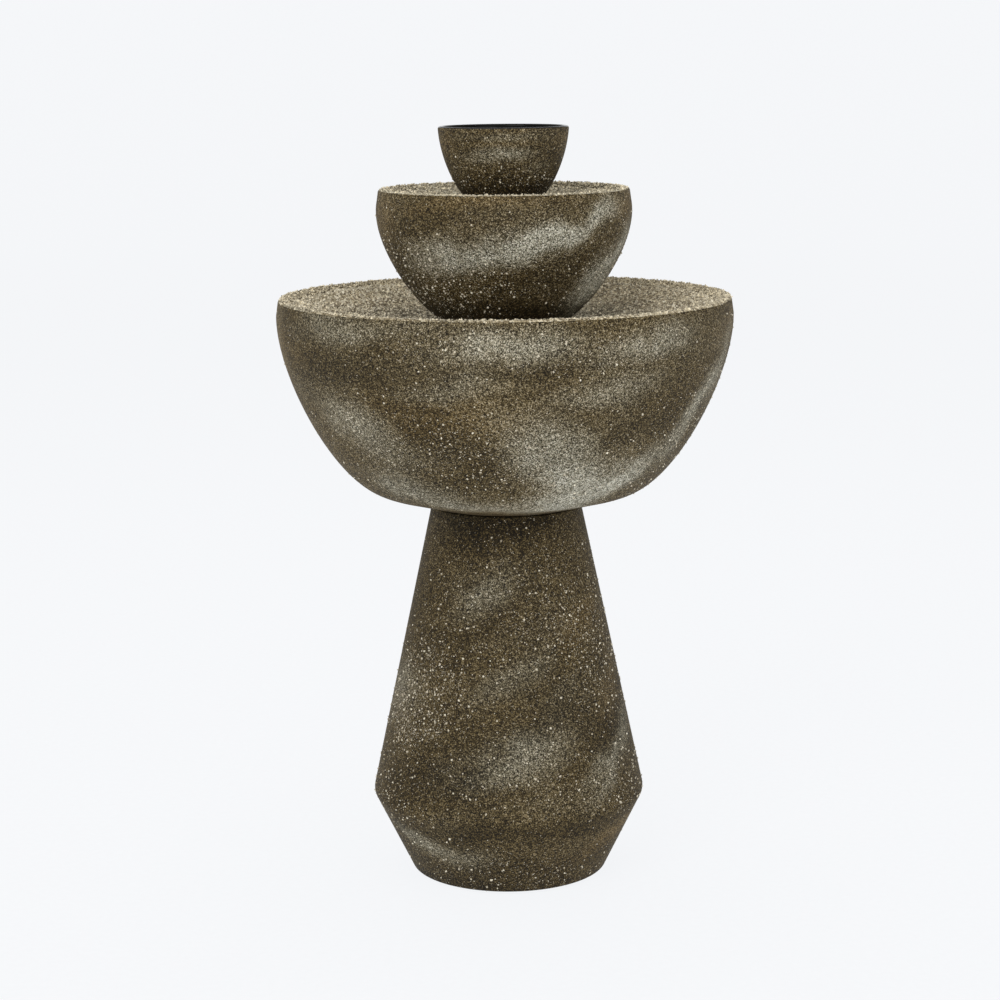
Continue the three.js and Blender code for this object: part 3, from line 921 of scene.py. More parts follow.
# ------------------------------------------------------------------ stone chips
class ChipBed:
    """Scatters crushed stone over a turned surface, with the same result each run."""

    BATCH = 120  # operators slow down with what a bmesh already holds

    def __init__(self, track: Sequence[Point], seed: int) -> None:
        """Prepares a surface.

        Args:
            track: the surface's outline, as radius and height, with the open side on its right.
            seed: what the draws start from.
        """
        self.random = random.Random(seed)
        self.legs = [(Vector(a), Vector(b)) for a, b in zip(track, track[1:])]
        self.areas = [(b - a).length * (a.x + b.x) for a, b in self.legs]

    def spot(self) -> tuple[float, Vector, Vector]:
        """Draws a place: its angle in radians, its point on the outline, its normal there."""
        start, end = self.random.choices(self.legs, self.areas)[0]
        share = self.random.random()
        along = (end - start).normalized()
        return self.random.uniform(-math.pi, math.pi), start.lerp(end, share), Vector((along.y, -along.x))

    def scatter(
        self,
        name: str,
        count: int,
        sizes: tuple[float, float],
        density: Density,
        sink: float = 0.42,
    ) -> bpy.types.Object:
        """Lays chips where the density lets them lie.

        Args:
            name: the object's name.
            count: how many chips.
            sizes: the smallest and the largest chip.
            density: the chance, from 0 to 1, at an angle in degrees, a height and a radius.
            sink: how far a chip sits in the surface, as a share of its size.

        Returns:
            The chips as one object.
        """
        whole = bmesh.new()
        laid = 0
        while laid < count:
            batch = bmesh.new()
            for _ in range(min(self.BATCH, count - laid)):
                angle, place, normal = self.spot()
                while self.random.random() > density(math.degrees(angle), place.y, place.x):
                    angle, place, normal = self.spot()
                size = sizes[0] + (sizes[1] - sizes[0]) * self.random.random() ** 3.0
                self._chip(batch, angle, place, normal, size, sink)
                laid += 1
            part = bpy.data.meshes.new("batch")
            batch.to_mesh(part)
            batch.free()
            whole.from_mesh(part)
            bpy.data.meshes.remove(part)
        return finished(name, whole, 20.0)

    def _chip(
        self,
        bm: bmesh.types.BMesh,
        angle: float,
        place: Vector,
        normal: Vector,
        size: float,
        sink: float,
    ) -> None:
        """Adds one chip.

        Args:
            bm: the mesh it is added to.
            angle: its angle round the axis, in radians.
            place: its point on the outline.
            normal: the outline's normal there.
            size: its size.
            sink: how far it sits in the surface, as a share of its size.
        """
        draw = self.random
        centre = place + normal * size * (0.5 - sink) * 0.6
        turn = Matrix.Rotation(angle, 4, "Z")
        spot = turn @ Vector((0, -centre.x * MM, centre.y * MM))
        tumble = Euler([draw.uniform(0, FULL_TURN) for _ in range(3)]).to_matrix().to_4x4()
        flat = Matrix.Diagonal((1.0, draw.uniform(0.6, 1.0), draw.uniform(0.5, 0.9), 1.0))
        laid = Matrix.Translation(spot) @ tumble @ flat
        made = bmesh.ops.create_cube(bm, size=size * 0.72 * MM, matrix=laid)
        for vert in made["verts"]:
            vert.co += Vector([draw.uniform(-1, 1) for _ in range(3)]) * size * 0.13 * MM


def shower_density(showers: Sequence[Shower], base: float, seed: float) -> Density:
    """Returns a density made of clusters on an uneven ground.

    Args:
        showers: the clusters.
        base: the density between them.
        seed: where the unevenness is read.

    Returns:
        The density at an angle, a height and a radius.
    """

    def density(angle: float, height: float, radius: float) -> float:
        """Returns the chance that a chip lies at a place.

        Args:
            angle: degrees round the piece from its front.
            height: its height.
            radius: its radius.

        Returns:
            The chance, from 0 to 1 or a little over.
        """
        turn = math.radians(angle)
        spot = Vector((math.sin(turn) * radius, math.cos(turn) * radius, height)) / 28
        uneven = 0.5 + noise.noise(spot + Vector((seed, seed, seed)))
        chance = base * max(0.08, uneven) ** 1.5
        for shower in showers:
            away = math.hypot((angle - shower.angle) / shower.spread, (height - shower.height) / shower.rise)
            chance += shower.weight * math.exp(-away * away)
        return chance

    return density


# ------------------------------------------------------------------ the fountain's pieces
def keep(piece: bpy.types.Object, body: str, finish: bpy.types.Material) -> None:
    """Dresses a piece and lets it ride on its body.

    Args:
        piece: the piece.
        body: the body it moves with.
        finish: its material.
    """
    piece.data.materials.clear()
    piece.data.materials.append(finish)
    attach(piece, body)
    LOG.info("%s: %d faces on %s", piece.name, len(piece.data.polygons), body)


def grit_lip(piece: bpy.types.Object, inner: float, outer: float, above: float, grit: GritCoat) -> None:
    """Gives a bowl's lip the grit of the dish inside it.

    Args:
        piece: the bowl.
        inner: the lip's inner radius.
        outer: its outer radius.
        above: the height over which the grit lies.
        grit: the grit.
    """
    piece.data.materials.append(grit.make())
    for face in piece.data.polygons:
        centre = face.center / MM
        if inner < math.hypot(centre.x, centre.y) < outer and centre.z > above:
            face.material_index = 1


def gland_place() -> Matrix:
    """Returns the move from the axis to the lead's fitting."""
    low, high = cad_box("bulkhead_fitting")
    return Matrix.Translation((0, (low.y + high.y) / 2 * MM, 0))


CREAM = ChipStone("cream_chips", (0.26, 0.21, 0.135), (0.80, 0.745, 0.60))
GRIT_CHIPS = ChipStone("grit_chips", (0.035, 0.025, 0.012), (0.90, 0.81, 0.61), 1000.0)


@dataclass
class LowerBowl:
    """The reservoir bowl: a rounded shell with a broad lip.

    Attributes:
        wall: its wall.
        flat: the radius of its flat underside.
        lip_drop: how far below the lip the side's curve ends.
        tray_gap: the room round the tray.
        floor: the radius of its flat floor inside.
        ledge_depth: how far below the tray's edge the ledge lies that it rests on.
        side_foot: where the side's curve starts, as a radius and a height over the underside.
        side_pull: what the curve's start leans towards, likewise.
        shoulder: the height that the curve's end leans towards.
        chips: how many chips lie on its outside.
    """

    wall: float = 6.5
    flat: float = 40.0
    lip_drop: float = 8.5
    tray_gap: float = 0.5
    floor: float = 50.0
    ledge_depth: float = 4.6
    side_foot: Point = (66.0, 7.0)
    side_pull: Point = (90.3, 11.6)
    shoulder: float = 271.9
    chips: int = 1700

    PASSES = (
        SprayPass(-42, 306, 46, 10, 4, 0.46),
        SprayPass(2, 299, 40, 13, 4, 0.66),
        SprayPass(36, 296, 36, 10, 12, 0.58),
        SprayPass(66, 264, 46, 12, 62, 0.80),
        SprayPass(12, 243, 34, 21, -28, 0.75),
        SprayPass(30, 222, 40, 18, 6, 1.00),
        SprayPass(4, 211, 64, 8, 0, 0.62),
        SprayPass(-43, 252, 34, 17, -24, 0.58),
        SprayPass(-33, 219, 44, 13, -10, 0.66),
        SprayPass(28, 274, 38, 10, 6, 0.42),
        SprayPass(-12, 278, 34, 9, 6, 0.34),
        SprayPass(46, 232, 30, 11, 30, 0.60),
        SprayPass(-76, 285, 28, 18, 20, 0.70, Tint.GOLD),
        SprayPass(78, 300, 28, 14, 10, 0.70, Tint.GOLD),
        SprayPass(-10, 207, 80, 9, 0, 0.85, Tint.GOLD),
        SprayPass(-88, 301, 16, 12, 0, 0.5, Tint.GOLD),
        SprayPass(-20, 262, 60, 14, 0, 0.50, Tint.GOLD),
        SprayPass(-50, 284, 46, 10, 4, 0.50, Tint.DARK_AND_PAINTED_SHADE),
        SprayPass(8, 286, 56, 6, 6, 0.45, Tint.DARK_AND_PAINTED_SHADE),
        SprayPass(38, 253, 40, 11, 18, 0.50, Tint.DARK_AND_PAINTED_SHADE),
        SprayPass(-16, 250, 34, 15, -26, 0.58, Tint.DARK_AND_PAINTED_SHADE),
        SprayPass(-9, 228, 40, 9, 12, 0.45, Tint.DARK_AND_PAINTED_SHADE),
    )
    SHOWERS = (
        Shower(-12, 300, 22, 9, 0.30),
        Shower(14, 297, 18, 8, 0.26),
        Shower(30, 291, 18, 7, 0.16),
        Shower(-22, 248, 24, 18, 0.30),
        Shower(2, 234, 20, 22, 0.26),
        Shower(38, 226, 24, 16, 0.42),
        Shower(62, 250, 14, 24, 0.45),
        Shower(-52, 240, 20, 18, 0.14),
        Shower(120, 270, 30, 24, 0.30),
        Shower(-130, 240, 34, 24, 0.30),
    )

    def outside(self) -> list[Point]:
        """Returns the outside from the middle of the underside up to under the lip."""
        low, high = cad_box("lower_bowl")
        end = (high.x, high.z - self.lip_drop)
        start = (self.side_foot[0], low.z + self.side_foot[1])
        pull = (self.side_pull[0], low.z + self.side_pull[1])
        side = bezier(start, pull, (high.x + 0.8, self.shoulder), end, 40)
        return [(self.flat, low.z), *side]

    def build(self) -> None:
        """Builds and dresses the shell and its chips."""
        low, high = cad_box("lower_bowl")
        tray_high = cad_box("lower_tray")[1]
        rim, lip = high.x, high.z
        tray_edge = tray_high.x + self.tray_gap
        ledge = tray_high.z - self.ledge_depth
        outside = self.outside()
        inside = [p for p in inset(outside[1:], self.wall) if p[1] < ledge - 12][::-1]
        head = [(0.0, low.z), *outside]
        outline = [
            *head,
            (rim - 1.2, lip),
            (rim - 4.4, lip),
            (tray_edge, tray_high.z + 0.3),
            (tray_edge, ledge),
            (tray_edge - 6, ledge),
            (tray_edge - 6, ledge - 3),
            (113.0, ledge - 11),
            *inside,
            (self.floor, low.z + self.wall),
            (0.0, low.z + self.wall),
        ]
        shell = Turning(outline, {len(head): 1.9, len(head) + 1: 0.8}, 224)
        piece = finished("lower_bowl_shell", shell.mesh())
        carve(piece, moved(rod(6.5, 195, 215), gland_place()))
        # 210 and 16 place the coat's painted shade on the bowl's underside.
        coat = StoneCoat("lower_bowl_coat", 104.0, self.PASSES, self.SHOWERS, 0.395, 210, 16, 1.7)
        keep(piece, "pedestal", coat.make())
        grit_lip(piece, tray_edge, rim - 1.6, tray_high.z, GritCoat("lower_lip_grit", 0.52))
        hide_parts("lower_bowl")
        bed = ChipBed([*outside[1:], (rim - 0.4, lip - 3)], 11)
        density = shower_density(self.SHOWERS, 0.06, 3.1)
        chips = bed.scatter("lower_bowl_chips", self.chips, (0.40, 1.25), density)
        keep(chips, "pedestal", CREAM.make())


@dataclass
class TopBowl:
    """The deep cup with a black glaze inside.

    Attributes:
        wall: its wall.
        floor: the height of its floor inside.
        foot: the radius of its underside.
        bore: the radius of the nozzle's hole.
        chips: how many chips lie on its outside.
    """

    wall: float = 3.0
    floor: float = 370.0
    foot: float = 13.0
    bore: float = 6.6
    chips: int = 260

    PASSES = (
        SprayPass(-6, 386, 22, 6, 4, 0.60),
        SprayPass(0, 397, 30, 3.5, 0, 0.30),
        SprayPass(30, 379, 14, 4, 10, 0.25),
        # Painted shade on the bowl's underside.
        SprayPass(0, 370, 50, 8, 0, 0.45, Tint.DARK_AND_PAINTED_SHADE),
        SprayPass(-68, 393, 12, 8, 0, 0.75, Tint.GOLD),
        SprayPass(68, 393, 13, 9, 0, 0.80, Tint.GOLD),
        SprayPass(0, 392, 26, 3, 0, 0.25, Tint.GOLD),
    )
    SHOWERS = (Shower(0, 372, 70, 6, 0.5), Shower(-30, 379, 30, 6, 0.3), Shower(160, 374, 60, 8, 0.5))

    def build(self) -> None:
        """Builds and dresses the shell, the glaze and the chips."""
        low, high = cad_box("top_bowl")
        foot, lip, rim = low.z, high.z, high.x
        floor = self.floor
        outside = bezier((17.5, foot), (25.2, 366.5), (rim - 1.2, 383.0), (rim, lip - 1.5), 30)
        inside = [p for p in inset(outside, self.wall) if p[1] > floor + 0.8][::-1]
        head = [(self.foot, foot), *outside]
        outline = [
            *head,
            (rim, lip),
            (rim - self.wall, lip),
            *inside,
            (17.0, floor),
            (self.bore, floor),
            (self.bore, floor - self.wall),
            (self.foot, floor - self.wall),
        ]
        shell = Turning(outline, {len(head): 1.3, len(head) + 1: 1.3}, 160)
        piece = finished("top_bowl_shell", shell.mesh())
        # 378 and 14 place the coat's painted shade on the bowl's underside.
        coat = StoneCoat("top_bowl_coat", 32.0, self.PASSES, self.SHOWERS, 0.345, 378, 14, 5.3)
        keep(piece, "top", coat.make())
        piece.data.materials.append(BlackGlaze().make())
        for face in piece.data.polygons:
            centre = face.center / MM
            inwards = face.normal.x * centre.x + face.normal.y * centre.y < 0 or face.normal.z > 0.5
            if centre.z > lip - 0.7 or (inwards and centre.z > floor - 0.5):
                face.material_index = 1
        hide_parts("top_bowl")
        bed = ChipBed(outside, 31)
        density = shower_density(self.SHOWERS, 0.04, 8.2)
        chips = bed.scatter("top_bowl_chips", self.chips, (0.35, 1.0), density)
        keep(chips, "top", CREAM.make())


@dataclass
class MiddleBowl:
    """The middle bowl, on a foot ring.

    Attributes:
        wall: its wall.
        floor: the height of its floor inside.
        floor_wall: its floor's thickness.
        foot: the radius inside its foot ring.
        bore: the radius of the standpipe's hole.
        chips: how many chips lie on its outside.
    """

    wall: float = 4.5
    floor: float = 305.0
    floor_wall: float = 4.0
    foot: float = 19.0
    bore: float = 5.3
    chips: int = 1200

    PASSES = (
        SprayPass(4, 341, 34, 13, 10, 1.0),
        SprayPass(16, 345, 20, 8, 8, 0.55),
        SprayPass(-30, 336, 30, 13, 6, 0.62),
        SprayPass(34, 349, 26, 7, 22, 0.55),
        SprayPass(50, 358, 22, 8, 14, 0.55),
        SprayPass(60, 319, 33, 18, 38, 1.1),
        SprayPass(74, 341, 16, 11, 60, 0.75),
        SprayPass(-72, 350, 20, 14, 70, 0.80, Tint.GOLD),
        SprayPass(-12, 364, 50, 5, 3, 0.75, Tint.GOLD),
        SprayPass(72, 361, 24, 8, 8, 0.75, Tint.GOLD),
        SprayPass(-40, 354, 28, 9, 10, 0.35, Tint.DARK_AND_PAINTED_SHADE),
        SprayPass(24, 326, 34, 9, 20, 0.50, Tint.DARK_AND_PAINTED_SHADE),
        # Painted shade across the bowl's underside.
        SprayPass(0, 307, 80, 10, 0, 0.60, Tint.DARK_AND_PAINTED_SHADE),
    )
    SHOWERS = (
        Shower(-45, 322, 30, 18, 0.62),
        Shower(-20, 318, 26, 12, 0.38),
        Shower(-8, 334, 26, 9, 0.25),
        Shower(-60, 338, 20, 10, 0.28),
        Shower(40, 322, 26, 12, 0.22),
        Shower(62, 330, 20, 20, 0.30),
        Shower(150, 330, 50, 20, 0.40),
    )

    def build(self) -> None:
        """Builds and dresses the shell and its chips."""
        low, high = cad_box("middle_bowl")
        foot, lip, rim = low.z, high.z, high.x
        tray_high = cad_box("middle_tray")[1]
        tray_edge = tray_high.x + 0.5
        ledge = tray_high.z - 3.3
        floor = self.floor
        outside = bezier((25.0, foot + 1.2), (40.0, foot + 1.2), (71.5, 338.0), (rim, lip - 5.8), 36)
        inside = [p for p in inset(outside, self.wall) if floor + 0.8 < p[1] < ledge - 9][::-1]
        head = [(self.foot, foot), (24.0, foot), *outside]
        outline = [
            *head,
            (rim - 0.8, lip),
            (rim - 3.2, lip),
            (tray_edge, tray_high.z + 0.4),
            (tray_edge, ledge),
            (tray_edge - 5.5, ledge),
            (tray_edge - 5.5, ledge - 2),
            (61.3, ledge - 8),
            *inside,
            (30.0, floor),
            (self.bore, floor),
            (self.bore, floor - self.floor_wall),
            (self.foot, floor - self.floor_wall),
        ]
        shell = Turning(outline, {len(head): 1.4, len(head) + 1: 0.6}, 192)
        piece = finished("middle_bowl_shell", shell.mesh())
        # 316 and 16 place the coat's painted shade on the bowl's underside.
        coat = StoneCoat("middle_bowl_coat", 60.0, self.PASSES, self.SHOWERS, 0.375, 316, 16, 9.1)
        keep(piece, "middle", coat.make())
        grit_lip(piece, tray_edge, rim - 1.2, tray_high.z, GritCoat("middle_lip_grit", 0.60))
        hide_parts("middle_bowl")
        bed = ChipBed([*outside, (rim - 0.4, lip - 2)], 21)
        density = shower_density(self.SHOWERS, 0.02, 5.5)
        chips = bed.scatter("middle_bowl_chips", self.chips, (0.40, 1.3), density)
        keep(chips, "middle", CREAM.make())


@dataclass
class Pedestal:
    """The hollow pedestal, widest a little above its base.

    Attributes:
        widest: its radius where it is widest.
        widest_z: the height of that.
        base: its radius at its base.
        neck: its radius at its top.
        plate: the thickness of its top.
        flange: the radius of the flange inside its base.
        chips: how many chips lie on its outside.
    """

    widest: float = 73.2
    widest_z: float = 44.5
    base: float = 52.0
    neck: float = 39.8
    plate: float = 5.2
    flange: float = 34.0
    chips: int = 2900

    PASSES = (
        SprayPass(-15, 163, 30, 14, 30, 0.50),
        SprayPass(2, 78, 40, 15, 24, 0.60),
        SprayPass(60, 74, 40, 12, 40, 0.62),
        SprayPass(2, 118, 34, 12, 30, 0.38),
        SprayPass(28, 108, 26, 10, 30, 0.22),
        SprayPass(-42, 27, 40, 9, -12, 0.55),
        SprayPass(-70, 105, 24, 20, 20, 0.50),
        SprayPass(50, 22, 34, 10, 12, 0.40, Tint.GOLD),
        SprayPass(59, 106, 22, 12, 40, 0.75, Tint.GOLD),
        SprayPass(47, 145, 22, 14, 40, 0.60, Tint.GOLD),
        SprayPass(66, 30, 28, 10, 20, 0.80, Tint.GOLD),
        # These two dark passes are painted shade on the pedestal's top, under the lower bowl.
        SprayPass(-28, 194, 34, 16, 0, 0.95, Tint.DARK_AND_PAINTED_SHADE),
        SprayPass(14, 197, 34, 9, 0, 0.80, Tint.DARK_AND_PAINTED_SHADE),
        SprayPass(-38, 62, 32, 14, 20, 0.60, Tint.DARK_AND_PAINTED_SHADE),
        SprayPass(-40, 132, 30, 16, 30, 0.35, Tint.DARK_AND_PAINTED_SHADE),
        SprayPass(14, 94, 36, 8, 24, 0.40, Tint.DARK_AND_PAINTED_SHADE),
        SprayPass(52, 90, 26, 14, 40, 0.35, Tint.DARK_AND_PAINTED_SHADE),
        SprayPass(10, 38, 80, 8, 4, 0.60, Tint.DARK_AND_PAINTED_SHADE),
        SprayPass(10, 12, 90, 12, 6, 0.60, Tint.DARK_AND_PAINTED_SHADE),
    )
    SHOWERS = (
        Shower(-57, 94, 17, 11, 2.0),
        Shower(-50, 112, 26, 26, 0.70),
        Shower(-60, 55, 22, 16, 0.50),
        Shower(10, 70, 40, 16, 0.25),
        Shower(20, 150, 60, 34, 0.30),
        Shower(60, 120, 26, 30, 0.35),
        Shower(64, 55, 30, 12, 0.40),
        Shower(0, 12, 50, 10, 0.30),
        Shower(170, 90, 60, 50, 0.45),
    )

    def build(self) -> None:
        """Builds and dresses the shell, its cuts and its chips."""
        low, high = cad_box("pedestal_shell")
        cover_high = cad_box("base_cover")[1]
        base, top, widest = low.z, high.z, self.widest
        outline = [
            (0.0, top - self.plate),
            (34.2, top - self.plate),
            (widest - 5.4, self.widest_z),
            (51.0, 11.0),
            (self.flange, 11.0),
            (self.flange, cover_high.z + 0.3),
            (cover_high.x + 0.4, cover_high.z + 0.3),
            (cover_high.x + 0.4, base),
            (self.base, base),
            (widest, self.widest_z),
            (self.neck, top),
            (0.0, top),
        ]
        # The inside comes first in this outline, so the outside's long sides are cut finer.
        fine = outline[:9]
        for (r0, z0), (r1, z1), count in ((outline[8], outline[9], 10), (outline[9], outline[10], 30)):
            fine += [(r0 + (r1 - r0) * k / count, z0 + (z1 - z0) * k / count) for k in range(1, count + 1)]
        fine.append(outline[11])
        shell = Turning(fine, {8: 1.5, 18: 2.2, 48: 0.8}, 192)
        piece = finished("pedestal_body", shell.mesh())
        socket_low, socket_high = cad_box("power_socket")
        inlet_z = (socket_low.z + socket_high.z) / 2
        back = Matrix.Translation((0, 0, inlet_z * MM)) @ Matrix.Rotation(-math.pi / 2, 4, "X")
        carve(
            piece,
            moved(rod(8.6, 64.8, 85), back),
            moved(rod(5.7, 40, 80), back),
            moved(rod(6.5, 180, 210), gland_place()),
        )
        # 10 and 14 place the coat's painted shade at the foot of the pedestal's flare.
        coat = StoneCoat("pedestal_coat", 58.0, self.PASSES, self.SHOWERS, 0.335, 10, 14, 13.9)
        keep(piece, "pedestal", coat.make())
        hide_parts("pedestal_shell")
        bed = ChipBed(fine[8:49], 41)
        density = shower_density(self.SHOWERS, 0.07, 2.4)

        def clear_of_socket(angle: float, height: float, radius: float) -> float:
            """Returns the density, and none round the socket."""
            near = abs(abs(angle) - 180) < 10 and abs(height - inlet_z) < 11
            return 0.0 if near else density(angle, height, radius)

        chips = bed.scatter("pedestal_chips", self.chips, (0.40, 1.35), clear_of_socket)
        keep(chips, "pedestal", CREAM.make())


@dataclass
class GritTray:
    """A shallow dish covered with grit.

    Attributes:
        node: the CAD node that it stands for.
        body: the body it moves with.
        bowl: the CAD node of the bowl it lies in.
        pad: the radius of its flat middle.
        hole: the radius of its hole.
        thickness: its thickness.
        fine: how many small chips lie on it.
        coarse: how many large chips lie on it.
        lip: how wide the bowl's lip is round it.
        seed: what its draws start from.
        lip_body: the body that the bowl moves with.
        level: how light its grit is.
        pebbles: how many larger chips lie towards its back left.
    """

    node: str
    body: str
    bowl: str
    pad: float
    hole: float
    thickness: float
    fine: int
    coarse: int
    lip: float
    seed: int
    lip_body: str = "pedestal"
    level: float = 0.52
    pebbles: int = 0

    SLOTS = 8
    SLOT = (29.5, 34.5)  # a drain slot's inner and outer radius

    def build(self) -> None:
        """Builds and dresses the dish, and the chips on it and on the lip round it."""
        low, high = cad_box(self.node)
        edge, rim_top, pad_top = high.x, high.z, low.z + self.thickness
        run = edge - 6 - self.pad
        fall = rim_top - pad_top
        slope = [(self.pad + run * k / 14, pad_top + fall * (k / 14) ** 1.5) for k in range(15)]
        under = [(r, z - self.thickness) for r, z in slope]
        outline = [
            (self.hole, low.z),
            *under,
            (edge, rim_top - self.thickness),
            (edge, rim_top),
            *slope[::-1],
            (self.hole, pad_top),
        ]
        piece = finished(f"{self.node}_dish", Turning(outline, {}, 192).mesh())
        if self.node == "lower_tray":
            carve(piece, *[self._slot(index) for index in range(self.SLOTS)])
        keep(piece, self.body, GritCoat(f"{self.node}_grit", self.level).make())
        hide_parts(self.node)
        # The open side is on the track's right, so a dish's top runs from its edge inwards.
        track = [(edge, rim_top), *slope[::-1], (self.hole + 6, pad_top)]
        bed = ChipBed(track, self.seed)
        chips = bed.scatter(f"{self.node}_chips", self.fine, (0.65, 1.6), self._bed_density, 0.2)
        keep(chips, self.body, GRIT_CHIPS.make())
        if self.pebbles:
            heap = bed.scatter(f"{self.node}_pebbles", self.pebbles, (1.2, 2.5), self._heap_density, 0.25)
            keep(heap, self.body, CREAM.make())
        self._lip_chips(edge)

    def _heap_density(self, angle: float, height: float, radius: float) -> float:
        """Returns the chance of a larger chip: highest towards the back left, near the rim."""
        share = math.exp(-(((angle + 128) / 48) ** 2)) + 0.22 * math.exp(-(((angle - 120) / 60) ** 2))
        return (share + 0.04) * (radius / cad_box(self.node)[1].x) ** 3

    def _bed_density(self, angle: float, height: float, radius: float) -> float:
        """Returns the chance of a chip on the dish: denser towards the rim, and none on a slot.

        Args:
            angle: degrees round the dish from its front.
            height: its height; not used.
            radius: its radius.

        Returns:
            The chance, from 0 to 1.
        """
        if self.pebbles and 28.6 < radius < 35.4 and 7 < angle % 45 < 38:
            return 0.0
        turn = math.radians(angle)
        spot = Vector((math.sin(turn) * radius, math.cos(turn) * radius, 0)) / 14
        uneven = 0.55 + 0.6 * noise.noise(spot + Vector((self.seed, 0, 0)))
        return max(0.05, uneven) * (0.45 + 0.55 * (radius / cad_box(self.node)[1].x) ** 2)

    def _lip_chips(self, edge: float) -> None:
        """Lays the grit on the bowl's lip.

        Args:
            edge: the dish's radius.
        """
        top = cad_box(self.bowl)[1].z
        foot = cad_box(self.node)[1].z + 0.2
        track = [
            (edge + self.lip - 0.3, top - 0.9),
            (edge + self.lip - 1.4, top),
            (edge + self.lip - 3.6, top),
            (edge - 0.2, foot),
        ]
        bed = ChipBed(track, self.seed + 5)
        chips = bed.scatter(f"{self.bowl}_lip_grit", self.coarse, (0.5, 1.35), self._lip_density, 0.25)
        keep(chips, self.lip_body, GRIT_CHIPS.make())

    def _lip_density(self, angle: float, height: float, radius: float) -> float:
        """Returns the chance of a chip on the lip: thin at its outer edge."""
        outer = cad_box(self.bowl)[1].x
        return min(1.0, max(0.08, (outer - 1.2 - radius) / 1.5))

    def _slot(self, index: int) -> bmesh.types.BMesh:
        """Returns the cutter of one drain slot.

        Args:
            index: which of the eight slots.

        Returns:
            The closed mesh.
        """
        share = FULL_TURN / self.SLOTS
        inner, outer = self.SLOT
        bm = bmesh.new()
        low = cad_box(self.node)[0].z - 2
        corners = [bm.verts.new((r * MM, 0, low * MM)) for r in (inner, outer)]
        corners += [bm.verts.new((r * MM, 0, (low + 12) * MM)) for r in (outer, inner)]
        face = bm.faces.new(corners)
        start = Matrix.Rotation((index + 0.2) * share, 4, "Z")
        bmesh.ops.transform(bm, matrix=start, verts=bm.verts)
        bmesh.ops.spin(
            bm,
            geom=[face, *face.edges, *face.verts],
            cent=(0, 0, 0),
            axis=(0, 0, 1),
            dvec=(0, 0, 0),
            angle=share * 0.6,
            steps=12,
        )
        bmesh.ops.recalc_face_normals(bm, faces=bm.faces)
        return bm


# The finish of each material slot of the fittings, by the slot's name.
FITTINGS = {
    "black_plastic": Moulded("black_moulding", (0.022, 0.023, 0.025), 0.48),
    "grey_plastic": Moulded("grey_moulding", (0.085, 0.090, 0.095), 0.52),
    "rubber": Moulded("soft_rubber", (0.020, 0.020, 0.021), 0.80, 700.0, 0.10, 0.15),
    "hose": SoftHose(),
    "brass": Machined("turned_brass", (0.62, 0.45, 0.19), (0.36, 0.25, 0.11), 0.26),
    "steel": Machined("plated_steel", (0.64, 0.65, 0.67), (0.40, 0.40, 0.41), 0.24),
    "shaft_ceramic": Moulded("white_ceramic", (0.74, 0.72, 0.68), 0.22, 2200.0, 0.02),
    "magnet": Moulded("magnet_moulding", (0.030, 0.030, 0.034), 0.36),
}


@dataclass
class TurnedPart:
    """A small fitting turned on a lathe, finer than its CAD node.

    Attributes:
        node: the CAD node that it stands for.
        body: the body it moves with.
        slot: its slot, which also picks its finish.
        outline: its corners, as in a turning.
        edge: how much its corners are rounded.
        steps: its sides.
        place: how it is moved from the axis.
    """

    node: str
    body: str
    slot: str
    outline: Sequence[Point]
    edge: float = 0.25
    steps: int = 56
    place: Matrix = field(default_factory=lambda: Matrix.Identity(4))

    def build(self) -> bpy.types.Object:
        """Builds and dresses the fitting."""
        rounded = {index: self.edge for index, (r, _) in enumerate(self.outline) if r > 0}
        bm = Turning(self.outline, rounded, self.steps).mesh()
        piece = finished(f"{self.node}_turned", moved(bm, self.place))
        keep(piece, self.body, FITTINGS[self.slot].make())
        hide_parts(self.node)
        return piece


